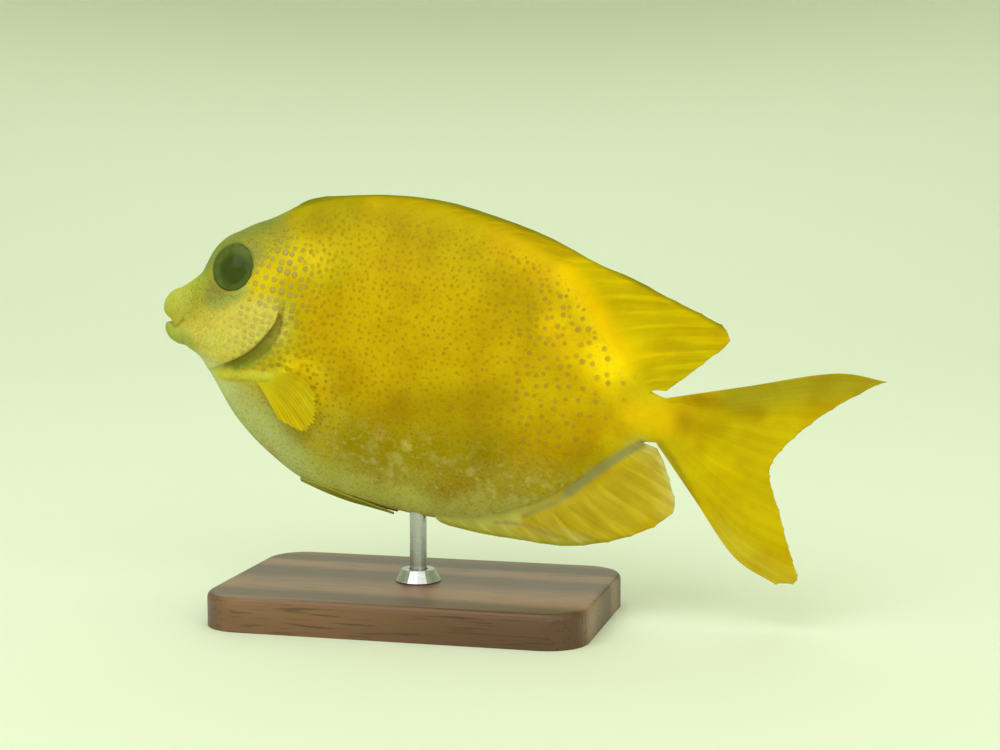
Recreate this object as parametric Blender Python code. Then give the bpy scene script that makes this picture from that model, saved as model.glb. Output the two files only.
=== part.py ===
"""Blue-spotted spinefoot: a still, life-size display model of the fish on a plain stand.

Sizes are in millimetres in the fish's own frame: x runs from the tip of the snout to the
tail, y to the fish's right side, z up from the level of the mouth. to_world bends the tail
a little to one side, tilts the fish nose up, lifts it over its stand and gives metres. The
world's origin is the middle of the underside of the stand's base.
"""
import math

import bmesh
import bpy
import numpy as np
from mathutils import Vector

# Pose of the fish over the stand
NOSE_UP = math.radians(11.5)
TAIL_BEND_START = 120.0
TAIL_BEND_RADIUS = 1500.0
ROD_X = 106.0
TAIL_CLEARANCE = 16.0
LOWEST_TAIL_POINT = (238.8, -40.2)
GAP = 0.35

# Body: outline seen from the side, half width seen from above, height of the widest line
BACK_LINE = [(0.8, 5.2), (1.6, 9.0), (4.6, 12.4), (9.6, 17.4), (12.2, 21.2), (15.2, 28.4),
             (19.0, 33.2), (23.0, 36.4), (28.0, 40.3), (34.0, 43.9), (39.0, 47.5), (43.0, 50.4),
             (48.0, 52.6), (60.0, 56.2), (90.0, 59.4), (118.0, 56.6), (134.0, 52.0),
             (145.0, 44.2), (161.0, 27.2), (169.0, 18.8), (176.5, 14.2), (183.0, 12.9)]
BELLY_LINE = [(0.8, 5.2), (1.6, 1.0), (4.7, -5.4), (10.0, -7.9), (16.0, -10.4), (22.0, -16.0),
              (34.5, -29.3), (48.0, -38.3), (64.0, -45.0), (84.0, -47.5), (105.0, -47.2),
              (122.0, -45.3), (146.0, -34.6), (160.6, -21.8), (168.5, -12.0), (175.5, -4.9),
              (183.0, -3.0)]
HALF_WIDTH = [(0.8, 0.0), (1.6, 2.6), (5.0, 4.6), (10.0, 6.6), (18.0, 9.3), (28.0, 11.9),
              (42.0, 14.2), (62.0, 15.8), (84.0, 15.9), (106.0, 14.2), (128.0, 10.8),
              (150.0, 6.6), (168.0, 3.9), (183.0, 2.4)]
WIDEST_LINE = [(0.8, 5.2), (6.0, 3.0), (20.0, 5.5), (45.0, 6.5), (90.0, 3.5), (130.0, 3.0),
               (160.0, 4.5), (183.0, 5.0)]
# How sharply a section closes towards the back and the belly: 1 is an ellipse
BACK_PINCH = [(0.8, 1.0), (15.0, 0.85), (36.0, 0.95), (60.0, 1.4), (90.0, 1.65),
              (140.0, 1.5), (183.0, 1.2)]
BELLY_PINCH = [(0.8, 1.0), (30.0, 1.05), (60.0, 0.95), (183.0, 1.0)]
SNOUT_X = 0.8
FIRST_SECTION_SHIFT = 0.15
HEAD_LOFT_END = 54.0
HEAD_SECTIONS = 21
HEAD_SECTION_CROWDING = 1.35
TRUNK_LOFT_START = 14.0
TRUNK_FINE_END = 60.0
TRUNK_FINE_SECTIONS = 14
TRUNK_WIDE_START = 64.0
TRUNK_WIDE_SECTIONS = 17
TAIL_START = 150.0
TAIL_SECTIONS = 10
BODY_END = 182.0
FLANK_STEPS = 13

# Head: the muzzle's two lips, the mouth, the nostrils, the eyes and the gill covers
UPPER_LIP = ((7.6, 0.0, 5.0), (8.5, 5.3, 8.0))
LOWER_LIP = ((8.5, 0.0, -2.1), (7.5, 5.1, 5.7))
MOUTH_OPENING = [(-4.0, 4.8), (2.6, 1.1), (9.4, 1.0), (9.4, 0.45), (2.6, -0.2), (-4.0, -3.2)]
NOSTRILS = [((12.0, 16.4), 0.6), ((14.3, 18.6), 0.75)]
NOSTRIL_DEPTH = 2.2
NOSTRIL_SIDES = 8
EYE_PLACE = (25.4, 25.0)
EYE_AXIS = (-0.27, -0.94, 0.20)
EYE_STEPS = (24, 12)
EYE_RADIUS = 8.7
EYE_DEPTH = 4.4
EYE_STANDS_OUT = 2.0
BROW_SWELL = 1.2
BROW_REACH = 9.0
GILL_EDGE = [(37.0, 52.0), (39.5, 36.0), (43.4, 24.0), (46.8, 16.5), (46.5, 9.8), (42.2, 2.2),
             (37.9, -2.9), (31.5, -7.8), (24.0, -12.4), (15.0, -17.0)]
GILL_FLARE = 0.9
GILL_RECESS = 1.3
GILL_REACH = 7.0
NAPE_START = 14.0
NAPE_REACH = 14.0
TRUNK_OFFSET = (0.4, -0.28)
# Corners that close the gill line's outline below the throat and above the nape
BEHIND_GILL = [(15.0, -60.0), (80.0, -60.0), (80.0, 70.0), (37.0, 70.0)]
AHEAD_OF_GILL = [(15.4, -60.0), (-10.0, -60.0), (-10.0, 70.0), (37.4, 70.0)]
CUTTER_HALF_WIDTH = 40.0
MOUTH_HALF_WIDTH = 12.0
# Fleshy strip from the throat to the breast fin's root: x, z and radius
FIN_STRIP = [(28.2, -13.3, 1.4), (31.2, -13.1, 1.8), (36.0, -12.2, 1.5), (41.0, -11.1, 1.8),
             (46.0, -9.8, 2.5), (50.0, -8.4, 2.2)]
FIN_STRIP_STEPS = 9
FIN_STRIP_SIDES = 10

# Fins: each key ray is a row of points from its root to its tip, front ray first
SPINY_DORSAL = [((40.0, 0), (45.5, 1.2), (51.0, 1.9)), ((56.0, 0), (65.0, 1.3), (74.0, 2.3)),
                ((75.0, 0), (85.0, 1.8), (95.0, 3.0)), ((94.0, 0), (104.5, 2.0), (115.0, 3.6)),
                ((113.0, 0), (123.0, 2.4), (133.0, 5.3)),
                ((132.0, 0), (140.5, 4.6), (148.5, 13.6))]
SOFT_DORSAL = [((134.5, 0), (143.8, 51.2), (152.4, 52.0)), ((141.5, 0), (153.0, 49.4), (164.5, 50.0)),
               ((147.5, 0), (162.5, 44.6), (177.5, 46.3)), ((153.8, 0), (172.0, 39.0), (190.5, 42.7)),
               ((159.8, 0), (180.0, 33.4), (200.4, 38.0)), ((166.0, 0), (181.5, 26.0), (196.2, 30.4)),
               ((171.3, 0), (180.5, 19.6), (189.0, 22.2)), ((176.4, 0), (179.6, 14.8), (182.6, 15.2))]
SPINY_ANAL = [((112.0, 0), (115.0, -1.2), (118.0, -2.2)), ((120.0, 0), (125.0, -2.6), (130.0, -5.2)),
              ((133.0, 0), (138.0, -6.0), (143.0, -10.8)), ((144.6, 0), (151.5, -10.6), (158.0, -21.3))]
SOFT_ANAL = [((145.8, 0), (153.0, -41.6), (159.0, -45.1)), ((151.0, 0), (160.5, -38.2), (170.0, -42.2)),
             ((156.2, 0), (168.0, -32.6), (179.8, -37.6)), ((161.2, 0), (175.0, -26.0), (188.3, -31.6)),
             ((165.4, 0), (180.0, -19.4), (193.9, -24.4)), ((169.2, 0), (181.0, -13.6), (191.6, -17.4)),
             ((172.4, 0), (180.4, -8.6), (187.0, -10.4)), ((175.6, 0), (179.0, -6.2), (181.6, -6.9))]
CAUDAL_UPPER = [(12.5, (207.0, 21.8), (230.5, 31.2), (254.0, 33.8)),
                (11.1, (204.0, 16.8), (226.0, 24.2), (247.4, 29.9)),
                (9.6, (201.0, 12.6), (220.0, 17.9), (238.6, 21.8)),
                (8.1, (198.0, 9.2), (214.0, 11.4), (230.6, 12.6)),
                (6.7, (196.0, 6.3), (210.0, 5.6), (225.3, 4.9)),
                (5.4, (195.0, 3.7), (208.0, 1.3), (222.4, -2.0))]
CAUDAL_LOWER = [(4.9, (195.0, 3.1), (208.0, 0.7), (222.4, -2.7)),
                (3.6, (195.6, -0.8), (209.0, -5.8), (224.1, -9.0)),
                (2.2, (197.0, -5.2), (212.0, -13.2), (228.7, -17.3)),
                (0.8, (198.2, -9.8), (214.5, -20.6), (232.9, -25.6)),
                (-0.8, (198.8, -14.2), (216.6, -28.8), (236.9, -33.2)),
                (-2.4, (199.0, -18.3), (217.8, -35.6), (238.8, -40.2))]
CAUDAL_ROOT_X = BODY_END + GAP
CAUDAL_ROWS = 9
PECTORAL = [((51.6, -7.4), (61.4, -20.6, -5.6), (70.9, -31.6, -8.8)),
            ((49.6, -8.6), (60.8, -21.8, -8.6), (73.4, -33.8, -13.4)),
            ((47.4, -9.8), (58.6, -21.6, -11.8), (72.4, -32.6, -18.6)),
            ((45.2, -10.9), (55.4, -20.0, -14.8), (68.4, -30.0, -22.2)),
            ((43.2, -11.9), (50.6, -17.2, -15.6), (59.6, -24.0, -21.8))]
PECTORAL_ROOT_CLEAR = 3.4
PELVIC_ROOT_X = 64.0
PELVIC_LENGTH = 34.0
PELVIC_INNER = [(0.0, 2.0), (0.6, 1.6), (1.0, 2.2)]
PELVIC_OUTER = [(0.0, 5.6), (0.3, 7.0), (0.7, 5.6), (1.0, 3.2)]
PELVIC_CLEAR = 1.15
PELVIC_TIP_CLEAR = 0.9
PELVIC_KEY_RAYS = 3
PELVIC_KEY_POINTS = 5

# Each fin's membrane at root and edge, its rays' ridge and how deep the edge is notched
SPINY_DORSAL_SKIN = (1.9, 1.0, 0.3, 0.12)
SPINY_ANAL_SKIN = (1.7, 0.9, 0.3, 0.10)
SOFT_FIN_SKIN = (1.5, 0.6, 0.3, 0.03)
CAUDAL_SKIN = (2.4, 0.6, 0.35, 0.03)
PECTORAL_SKIN = (1.4, 0.6, 0.25, 0.03)
PELVIC_SKIN = (1.1, 0.6, 0.2, 0.03)
RIDGE_FADE = 0.6
SPINY_ROWS = 4
SOFT_ROWS = 6
PECTORAL_ROWS = 6
PELVIC_ROWS = 7

DORSAL_SPINES = 13
DORSAL_RAYS = 10
ANAL_SPINES = 7
ANAL_RAYS = 9
CAUDAL_LOBE_RAYS = 8
PECTORAL_RAYS = 10
PELVIC_RAYS = 5

# Stand: a flat base with one rod up into the belly
BASE_LENGTH = 134.0
BASE_WIDTH = 84.0
BASE_HEIGHT = 12.0
BASE_CORNER = 14.0
BASE_CORNER_STEPS = 8
BASE_EDGE = 2.0
BASE_EDGE_STEPS = 3
ROD_RADIUS = 3.0
ROD_SOCKET_DEPTH = 12.0
ROD_TOP_CLEAR = 1.0
ROD_FOOT_DEPTH = 6.0
COLLAR_RADIUS = 8.0
COLLAR_SIDES = 28
COLLAR_HEIGHT = 4.0
COLLAR_TOP_SHARE = 0.72
# How far a hole's cutter reaches past the surface it opens
OVERCUT = 8.0
SHARP_EDGE = math.radians(40)

# Linear colours
BODY_YELLOW = (0.61, 0.41, 0.01)
HEAD_OLIVE = (0.50, 0.47, 0.06)
FIN_YELLOW = (0.58, 0.46, 0.01)
EYE_DARK = (0.02, 0.03, 0.01)
WALNUT = (0.10, 0.05, 0.025)
STEEL = (0.55, 0.55, 0.56)

MM = 0.001


def smooth_curve(points, x):
    """Height of a smooth line through points at x, with no overshoot between them."""
    px, pz = np.array(points, dtype=float).T
    step = np.diff(px)
    slope = np.diff(pz) / step
    tangent = np.empty_like(px)
    tangent[0], tangent[-1] = slope[0], slope[-1]
    before, after = slope[:-1], slope[1:]
    same_way = before * after > 0
    weight_a = 2 * step[1:] + step[:-1]
    weight_b = step[1:] + 2 * step[:-1]
    safe_before = np.where(same_way, before, 1.0)
    safe_after = np.where(same_way, after, 1.0)
    mean = (weight_a + weight_b) / (weight_a / safe_before + weight_b / safe_after)
    tangent[1:-1] = np.where(same_way, mean, 0.0)
    x = np.clip(x, px[0], px[-1])
    i = np.clip(np.searchsorted(px, x) - 1, 0, len(step) - 1)
    t = (x - px[i]) / step[i]
    return ((2 * t**3 - 3 * t**2 + 1) * pz[i] + (t**3 - 2 * t**2 + t) * step[i] * tangent[i]
            + (3 * t**2 - 2 * t**3) * pz[i + 1] + (t**3 - t**2) * step[i] * tangent[i + 1])


def through(points, count):
    """count points, evenly spread, on a Catmull-Rom curve through points."""
    p = np.array(points, dtype=float)
    p = np.vstack([2 * p[0] - p[1], p, 2 * p[-1] - p[-2]])
    out = []
    for s in np.linspace(0, len(points) - 1, count):
        i = min(int(s), len(points) - 2)
        t = s - i
        a, b, c, d = p[i:i + 4]
        out.append(0.5 * (2 * b + (c - a) * t + (2 * a - 5 * b + 4 * c - d) * t**2
                          + (3 * b - a - 3 * c + d) * t**3))
    return np.array(out)


# Where the pose puts the snout's level, the rod and the belly over it
LIFT = (TAIL_CLEARANCE + LOWEST_TAIL_POINT[0] * math.sin(NOSE_UP)
        - LOWEST_TAIL_POINT[1] * math.cos(NOSE_UP))
ROD_Z = float(smooth_curve(BELLY_LINE, ROD_X))
SHIFT_X = ROD_X * math.cos(NOSE_UP) + ROD_Z * math.sin(NOSE_UP)
BELLY_HEIGHT = ROD_Z * math.cos(NOSE_UP) - ROD_X * math.sin(NOSE_UP) + LIFT

# The gill cover's rear edge as a smooth line of x, z points, nape to throat
GILL_LINE = through(GILL_EDGE, 34)


def to_world(point):
    """A point of the fish's frame in world metres."""
    x, y, z = point
    past = max(0.0, x - TAIL_BEND_START)
    y += past**2 / (2 * TAIL_BEND_RADIUS)
    tilt_cos, tilt_sin = math.cos(NOSE_UP), math.sin(NOSE_UP)
    world_x = x * tilt_cos + z * tilt_sin
    world_z = z * tilt_cos - x * tilt_sin
    return ((world_x - SHIFT_X) * MM, y * MM, (world_z + LIFT) * MM)


def half_width_at(x, z):
    """Half width of the plain body at x and height z."""
    middle = smooth_curve(WIDEST_LINE, x)
    edge = smooth_curve(BACK_LINE if z > middle else BELLY_LINE, x)
    pinch = smooth_curve(BACK_PINCH if z > middle else BELLY_PINCH, x)
    s = min(0.999, abs((z - middle) / (edge - middle)))
    return smooth_curve(HALF_WIDTH, x) * (1 - s * s) ** (pinch / 2)


def belly_height(x, y):
    """Height of the underside of the plain body at x and y."""
    middle = smooth_curve(WIDEST_LINE, x)
    depth = middle - smooth_curve(BELLY_LINE, x)
    share = min(0.999, abs(y) / smooth_curve(HALF_WIDTH, x))
    return middle - depth * math.sqrt(1 - share ** (2 / smooth_curve(BELLY_PINCH, x)))


def fade(distance, reach):
    """1 at no distance, falling smoothly to 0 at reach."""
    t = min(1.0, max(0.0, distance / reach))
    return 1 - t * t * (3 - 2 * t)


def near_gill(x, z):
    """1 on the gill line, falling to 0 away from it and up the nape."""
    to_gill = np.hypot(GILL_LINE[:, 0] - x, GILL_LINE[:, 1] - z).min()
    return fade(to_gill, GILL_REACH) * fade(z - NAPE_START, NAPE_REACH)


def head_swell(x, z):
    """How far the head stands out of the plain body: the brow and the flared gill cover."""
    from_eye = math.hypot(x - EYE_PLACE[0], z - EYE_PLACE[1])
    return BROW_SWELL * math.exp(-(from_eye / BROW_REACH) ** 2) + GILL_FLARE * near_gill(x, z)


def trunk_swell(x, z):
    """How far the trunk draws in just behind the gill opening."""
    return -GILL_RECESS * near_gill(x, z)


def section(x, swell):
    """Points round the body at x, from the back down the left flank and up the right."""
    middle = float(smooth_curve(WIDEST_LINE, x))
    back = float(smooth_curve(BACK_LINE, x))
    belly = float(smooth_curve(BELLY_LINE, x))
    width = float(smooth_curve(HALF_WIDTH, x))
    pinches = float(smooth_curve(BACK_PINCH, x)), float(smooth_curve(BELLY_PINCH, x))
    left = []
    for i in range(FLANK_STEPS + 1):
        s = math.cos(math.pi * i / FLANK_STEPS)
        z = middle + s * ((back - middle) if s > 0 else (middle - belly))
        reach = max(0.0, 1 - s * s)
        y = width * reach ** (pinches[0 if s > 0 else 1] / 2)
        if 0 < i < FLANK_STEPS:
            y += swell(x, z) * math.sqrt(reach)
        left.append((x, -y, z))
    right = [(px, -py, pz) for px, py, pz in reversed(left[1:-1])]
    return left + right


def new_object(name, bm):
    """A scene object of a bmesh, in millimetres of the fish's frame."""
    bm.normal_update()
    bmesh.ops.recalc_face_normals(bm, faces=bm.faces)
    mesh = bpy.data.meshes.new(name)
    bm.to_mesh(mesh)
    bm.free()
    obj = bpy.data.objects.new(name, mesh)
    bpy.context.scene.collection.objects.link(obj)
    return obj


def loft(name, xs, swell):
    """A closed body through the sections at xs, with flat ends."""
    bm = bmesh.new()
    close_rings(bm, [[bm.verts.new(p) for p in section(x, swell)] for x in xs])
    return new_object(name, bm)


def close_rings(bm, rings):
    """Faces between rings of points, and one at each end."""
    for ring, following in zip(rings, rings[1:]):
        for i in range(len(ring)):
            j = (i + 1) % len(ring)
            bm.faces.new((ring[i], ring[j], following[j], following[i]))
    bm.faces.new(rings[0])
    bm.faces.new(rings[-1])


def ellipsoid(name, centre, radii, segments=24, rings=14, axis=None):
    """A closed ellipsoid, its third radius along axis where one is given."""
    bm = bmesh.new()
    bmesh.ops.create_uvsphere(bm, u_segments=segments, v_segments=rings, radius=1.0)
    turn = direction(axis).to_track_quat("Z", "Y").to_matrix() if axis else None
    for vert in bm.verts:
        vert.co = [c * r for c, r in zip(vert.co, radii)]
        if turn:
            vert.co = turn @ vert.co
        vert.co = [c + o for c, o in zip(vert.co, centre)]
    return new_object(name, bm)


def direction(values):
    """A unit vector."""
    return Vector(values).normalized()


def prism(name, outline, half_width):
    """A closed prism of an x, z outline, half_width to each side of the middle."""
    bm = bmesh.new()
    close_rings(bm, [[bm.verts.new((x, y, z)) for x, z in outline]
                     for y in (-half_width, half_width)])
    return new_object(name, bm)


def tube(name, start, end, radius, segments=20):
    """A closed round bar from start to end."""
    bm = bmesh.new()
    along = direction([b - a for a, b in zip(start, end)])
    turn = along.to_track_quat("Z", "Y").to_matrix()
    rings = []
    for place in (start, end):
        ring = []
        for i in range(segments):
            angle = 2 * math.pi * i / segments
            offset = turn @ direction((math.cos(angle), math.sin(angle), 0)) * radius
            ring.append(bm.verts.new([p + o for p, o in zip(place, offset)]))
        rings.append(ring)
    close_rings(bm, rings)
    return new_object(name, bm)


def combine(obj, others, operation):
    """Join others to obj, or cut them from it, and keep the largest closed surface."""
    guides = bpy.data.collections.new("guides")
    bpy.context.scene.collection.children.link(guides)
    for other in others:
        guides.objects.link(other)
        other.hide_render = True
        other.display_type = "WIRE"
    boolean = obj.modifiers.new(operation.lower(), "BOOLEAN")
    boolean.operation = operation
    boolean.operand_type = "COLLECTION"
    boolean.collection = guides
    boolean.solver = "EXACT"
    mesh = bpy.data.meshes.new_from_object(obj.evaluated_get(bpy.context.evaluated_depsgraph_get()))
    obj.modifiers.clear()
    obj.data = mesh
    for other in others:
        bpy.data.objects.remove(other)
    bpy.data.collections.remove(guides)
    keep_largest(obj)
    return obj


def keep_largest(obj):
    """Drop all but the largest connected surface of a mesh."""
    bm = bmesh.new()
    bm.from_mesh(obj.data)
    left = set(bm.faces)
    groups = []
    while left:
        seed = left.pop()
        group, front = [seed], [seed]
        while front:
            face = front.pop()
            for edge in face.edges:
                for near in edge.link_faces:
                    if near in left:
                        left.discard(near)
                        group.append(near)
                        front.append(near)
        groups.append(group)
    groups.sort(key=lambda g: sum(f.calc_area() for f in g), reverse=True)
    for group in groups[1:]:
        bmesh.ops.delete(bm, geom=group, context="FACES")
    bmesh.ops.delete(bm, geom=[v for v in bm.verts if not v.link_faces], context="VERTS")
    bm.to_mesh(obj.data)
    bm.free()


def ray_grid(key_rays, columns, rows):
    """A grid of points, columns across the fin and rows from root to edge."""
    lengthwise = [through(ray, rows) for ray in key_rays]
    across = [through([ray[r] for ray in lengthwise], columns) for r in range(rows)]
    return np.array(across).transpose(1, 0, 2)


def fin(name, grid, skin):
    """A fin of one closed skin, its rays raised as ridges on both faces.

    Every second column of the grid is a ray. skin holds the membrane's thickness at root and
    edge, how far a ray stands out at its root and how far the edge draws in between rays, as
    a share of their length.
    """
    root, tip, ridge, notch = skin
    rows = grid.shape[1]
    for column in range(1, len(grid), 2):
        grid[column, -1] += (grid[column, 0] - grid[column, -1]) * notch
    across = np.gradient(grid, axis=0)
    along = np.gradient(grid, axis=1)
    normal = np.cross(across, along)
    normal /= np.linalg.norm(normal, axis=2, keepdims=True)
    half = np.empty(grid.shape[:2])
    for column in range(len(grid)):
        for row in range(rows):
            share = row / (rows - 1)
            rise = ridge * (1 - RIDGE_FADE * share) if column % 2 == 0 else 0.0
            half[column, row] = (root + (tip - root) * share) / 2 + rise
    bm = bmesh.new()
    faces = []
    for side in (1, -1):
        points = grid + side * normal * half[..., None]
        faces.append([[bm.verts.new(p) for p in line] for line in points])
    for side, verts in zip((1, -1), faces):
        for i in range(len(grid) - 1):
            for j in range(rows - 1):
                a, b = verts[i][j], verts[i + 1][j]
                c, d = verts[i + 1][j + 1], verts[i][j + 1]
                bm.faces.new((a, b, c))
                bm.faces.new((a, c, d))
    border = ([(i, 0) for i in range(len(grid))] + [(len(grid) - 1, j) for j in range(1, rows)]
              + [(i, rows - 1) for i in range(len(grid) - 2, -1, -1)]
              + [(0, j) for j in range(rows - 2, 0, -1)])
    front, back = faces
    for (i, j), (k, m) in zip(border, border[1:] + border[:1]):
        bm.faces.new((front[i][j], front[k][m], back[k][m]))
        bm.faces.new((front[i][j], back[k][m], back[i][j]))
    return new_object(name, bm)


def outline_slope(line, x):
    """Slope of a smooth line at x."""
    return float(smooth_curve(line, x + 0.5) - smooth_curve(line, x - 0.5))


def clear_of(line, x):
    """How far above or below a smooth line a point clears it by the gap, on its slope."""
    return GAP * math.hypot(1, outline_slope(line, x))


def median_fin(key_rays, line, side, folded, rays, rows):
    """Grid of a fin on the body's midline, above line for side 1 and below it for -1.

    Root points lie on line. The other points of a folded fin are heights from it.
    """
    flat = [[(x, 0.0, z) for x, z in ray] for ray in key_rays]
    if not folded:
        for ray in flat:
            ray[0] = (ray[0][0], 0.0, float(smooth_curve(line, ray[0][0])))
    grid = ray_grid(flat, 2 * rays - 1, rows)
    for column in grid:
        for row, point in enumerate(column):
            height = float(smooth_curve(line, point[0])) + side * clear_of(line, point[0])
            if folded:
                point[2] += height
            elif row == 0:
                point[2] = height
    return grid


def caudal_fin(key_rays):
    """Grid of a tail lobe, rooted on the end of the body."""
    rays = [[(CAUDAL_ROOT_X, 0.0, ray[0])] + [(x, 0.0, z) for x, z in ray[1:]] for ray in key_rays]
    return ray_grid(rays, 2 * CAUDAL_LOBE_RAYS - 1, CAUDAL_ROWS)


def pectoral_fin(side):
    """Grid of one pectoral fin, rooted just clear of the flank; side is -1 for left."""
    out = []
    for ray in PECTORAL:
        x, z = ray[0]
        root = (x, (half_width_at(x, z) + trunk_swell(x, z) + PECTORAL_ROOT_CLEAR) * side, z)
        out.append([root] + [(px, -py * side, pz) for px, py, pz in ray[1:]])
    return ray_grid(out, 2 * PECTORAL_RAYS - 1, PECTORAL_ROWS)


def pelvic_fin(side):
    """Grid of one pelvic fin folded along the belly; side is -1 for left."""
    out = []
    for across in np.linspace(0, 1, PELVIC_KEY_RAYS):
        ray = []
        for along in np.linspace(0, 1, PELVIC_KEY_POINTS):
            x = PELVIC_ROOT_X + PELVIC_LENGTH * along
            inner = float(smooth_curve(PELVIC_INNER, along))
            outer = float(smooth_curve(PELVIC_OUTER, along))
            y = outer + (inner - outer) * across
            clear = PELVIC_CLEAR + PELVIC_TIP_CLEAR * along**2
            ray.append((x, y * side, belly_height(x, y) - clear))
        out.append(ray)
    return ray_grid(out, 2 * PELVIC_RAYS - 1, PELVIC_ROWS)


def head():
    """Head with its lips, mouth, nostrils, eye sockets and free gill-cover edge."""
    shares = np.linspace(0, 1, HEAD_SECTIONS) ** HEAD_SECTION_CROWDING
    xs = SNOUT_X + FIRST_SECTION_SHIFT + (HEAD_LOFT_END - SNOUT_X) * shares
    obj = loft("head", xs, head_swell)
    combine(obj, [ellipsoid("upper_lip", *UPPER_LIP), ellipsoid("lower_lip", *LOWER_LIP)], "UNION")
    cutters = [prism("mouth", MOUTH_OPENING, MOUTH_HALF_WIDTH)]
    for side in (-1, 1):
        for (x, z), radius in NOSTRILS:
            y = half_width_at(x, z) + head_swell(x, z)
            inner = (x, (y - NOSTRIL_DEPTH) * side, z)
            outer = (x, (y + NOSTRIL_DEPTH) * side, z)
            cutters.append(tube("nostril", inner, outer, radius, NOSTRIL_SIDES))
        cutters.append(eye_shape("socket", side, GAP))
    cutters.append(prism("behind_head", list(GILL_LINE) + BEHIND_GILL, CUTTER_HALF_WIDTH))
    return combine(obj, cutters, "DIFFERENCE")


def eye_shape(name, side, grow):
    """One eyeball's outer shape, larger by grow for its socket."""
    x, z = EYE_PLACE
    skin = half_width_at(x, z) + BROW_SWELL
    axis = direction((EYE_AXIS[0], EYE_AXIS[1] * -side, EYE_AXIS[2]))
    sink = EYE_DEPTH - EYE_STANDS_OUT
    centre = (x - axis[0] * sink, skin * side - axis[1] * sink, z - axis[2] * sink)
    radii = (EYE_RADIUS + grow, EYE_RADIUS + grow, EYE_DEPTH + grow)
    return ellipsoid(name, centre, radii, *EYE_STEPS, axis)


def fin_strip(side):
    """The fleshy strip in front of one breast fin's root; side is -1 for left."""
    bm = bmesh.new()
    rings = []
    for x, z, radius in through(FIN_STRIP, FIN_STRIP_STEPS):
        y = (half_width_at(x, z) + trunk_swell(x, z)) * side
        turns = [2 * math.pi * i / FIN_STRIP_SIDES for i in range(FIN_STRIP_SIDES)]
        rings.append([bm.verts.new((x, y + radius * math.cos(a), z + radius * math.sin(a)))
                      for a in turns])
    close_rings(bm, rings)
    return new_object("fin_strip", bm)


def trunk():
    """Trunk from the gill opening to the tail's root, with the strips before the breast fins."""
    fine = np.linspace(TRUNK_LOFT_START, TRUNK_FINE_END, TRUNK_FINE_SECTIONS)
    wide = np.linspace(TRUNK_WIDE_START, TAIL_START, TRUNK_WIDE_SECTIONS)
    obj = loft("trunk", [*fine, *wide], trunk_swell)
    combine(obj, [fin_strip(-1), fin_strip(1)], "UNION")
    ahead = list(GILL_LINE + TRUNK_OFFSET) + AHEAD_OF_GILL
    return combine(obj, [prism("ahead_of_trunk", ahead, CUTTER_HALF_WIDTH)], "DIFFERENCE")


def tail():
    """Root of the tail, from the trunk to the caudal fin."""
    xs = np.linspace(TAIL_START + GAP, BODY_END, TAIL_SECTIONS)
    return loft("tail_root", xs, lambda x, z: 0.0)


def pose(obj):
    """Put a part of the fish over the stand, in metres."""
    for vert in obj.data.vertices:
        vert.co = to_world(vert.co)


def stand_base():
    """Flat base with round corners and a softened upper edge, bored for the rod."""
    bm = bmesh.new()
    bmesh.ops.create_cube(bm, size=1.0)
    for vert in bm.verts:
        x, y, z = vert.co
        vert.co = (x * BASE_LENGTH, y * BASE_WIDTH, (z + 0.5) * BASE_HEIGHT)
    corners = [e for e in bm.edges if abs(e.verts[0].co.z - e.verts[1].co.z) > BASE_HEIGHT / 2]
    bmesh.ops.bevel(bm, geom=corners, offset=BASE_CORNER, segments=BASE_CORNER_STEPS, profile=0.5,
                    affect="EDGES")
    rim = [e for e in bm.edges if all(v.co.z > BASE_HEIGHT - 0.01 for v in e.verts)]
    bmesh.ops.bevel(bm, geom=rim, offset=BASE_EDGE, segments=BASE_EDGE_STEPS, profile=0.5,
                    affect="EDGES")
    obj = new_object("stand_base", bm)
    foot = BASE_HEIGHT - ROD_FOOT_DEPTH
    hole = tube("rod_hole", (0, 0, foot), (0, 0, BASE_HEIGHT + OVERCUT), ROD_RADIUS + GAP)
    return combine(obj, [hole], "DIFFERENCE")


def stand_rod(top):
    """Round rod from the base up into the belly."""
    foot = BASE_HEIGHT - ROD_FOOT_DEPTH + GAP
    return tube("stand_rod", (0, 0, foot), (0, 0, top), ROD_RADIUS)


def stand_collar():
    """Low turned collar round the rod's foot."""
    low = BASE_HEIGHT + GAP
    top = low + COLLAR_HEIGHT
    obj = tube("stand_collar", (0, 0, low), (0, 0, top), COLLAR_RADIUS, COLLAR_SIDES)
    for vert in obj.data.vertices:
        if vert.co.z > low + COLLAR_HEIGHT / 2:
            vert.co.x *= COLLAR_TOP_SHARE
            vert.co.y *= COLLAR_TOP_SHARE
    hole = tube("collar_hole", (0, 0, low - OVERCUT), (0, 0, top + OVERCUT), ROD_RADIUS + GAP)
    return combine(obj, [hole], "DIFFERENCE")


def paint(obj, name, colour, roughness, metallic=0.0):
    """Give an object its own material and smooth shading with sharp edges kept."""
    material = bpy.data.materials.new(name)
    material.use_nodes = True
    shader = material.node_tree.nodes["Principled BSDF"]
    shader.inputs["Base Color"].default_value = (*colour, 1.0)
    shader.inputs["Roughness"].default_value = roughness
    shader.inputs["Metallic"].default_value = metallic
    obj.data.materials.clear()
    obj.data.materials.append(material)
    obj.data.shade_smooth()
    obj.data.set_sharp_from_angle(angle=SHARP_EDGE)


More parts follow.
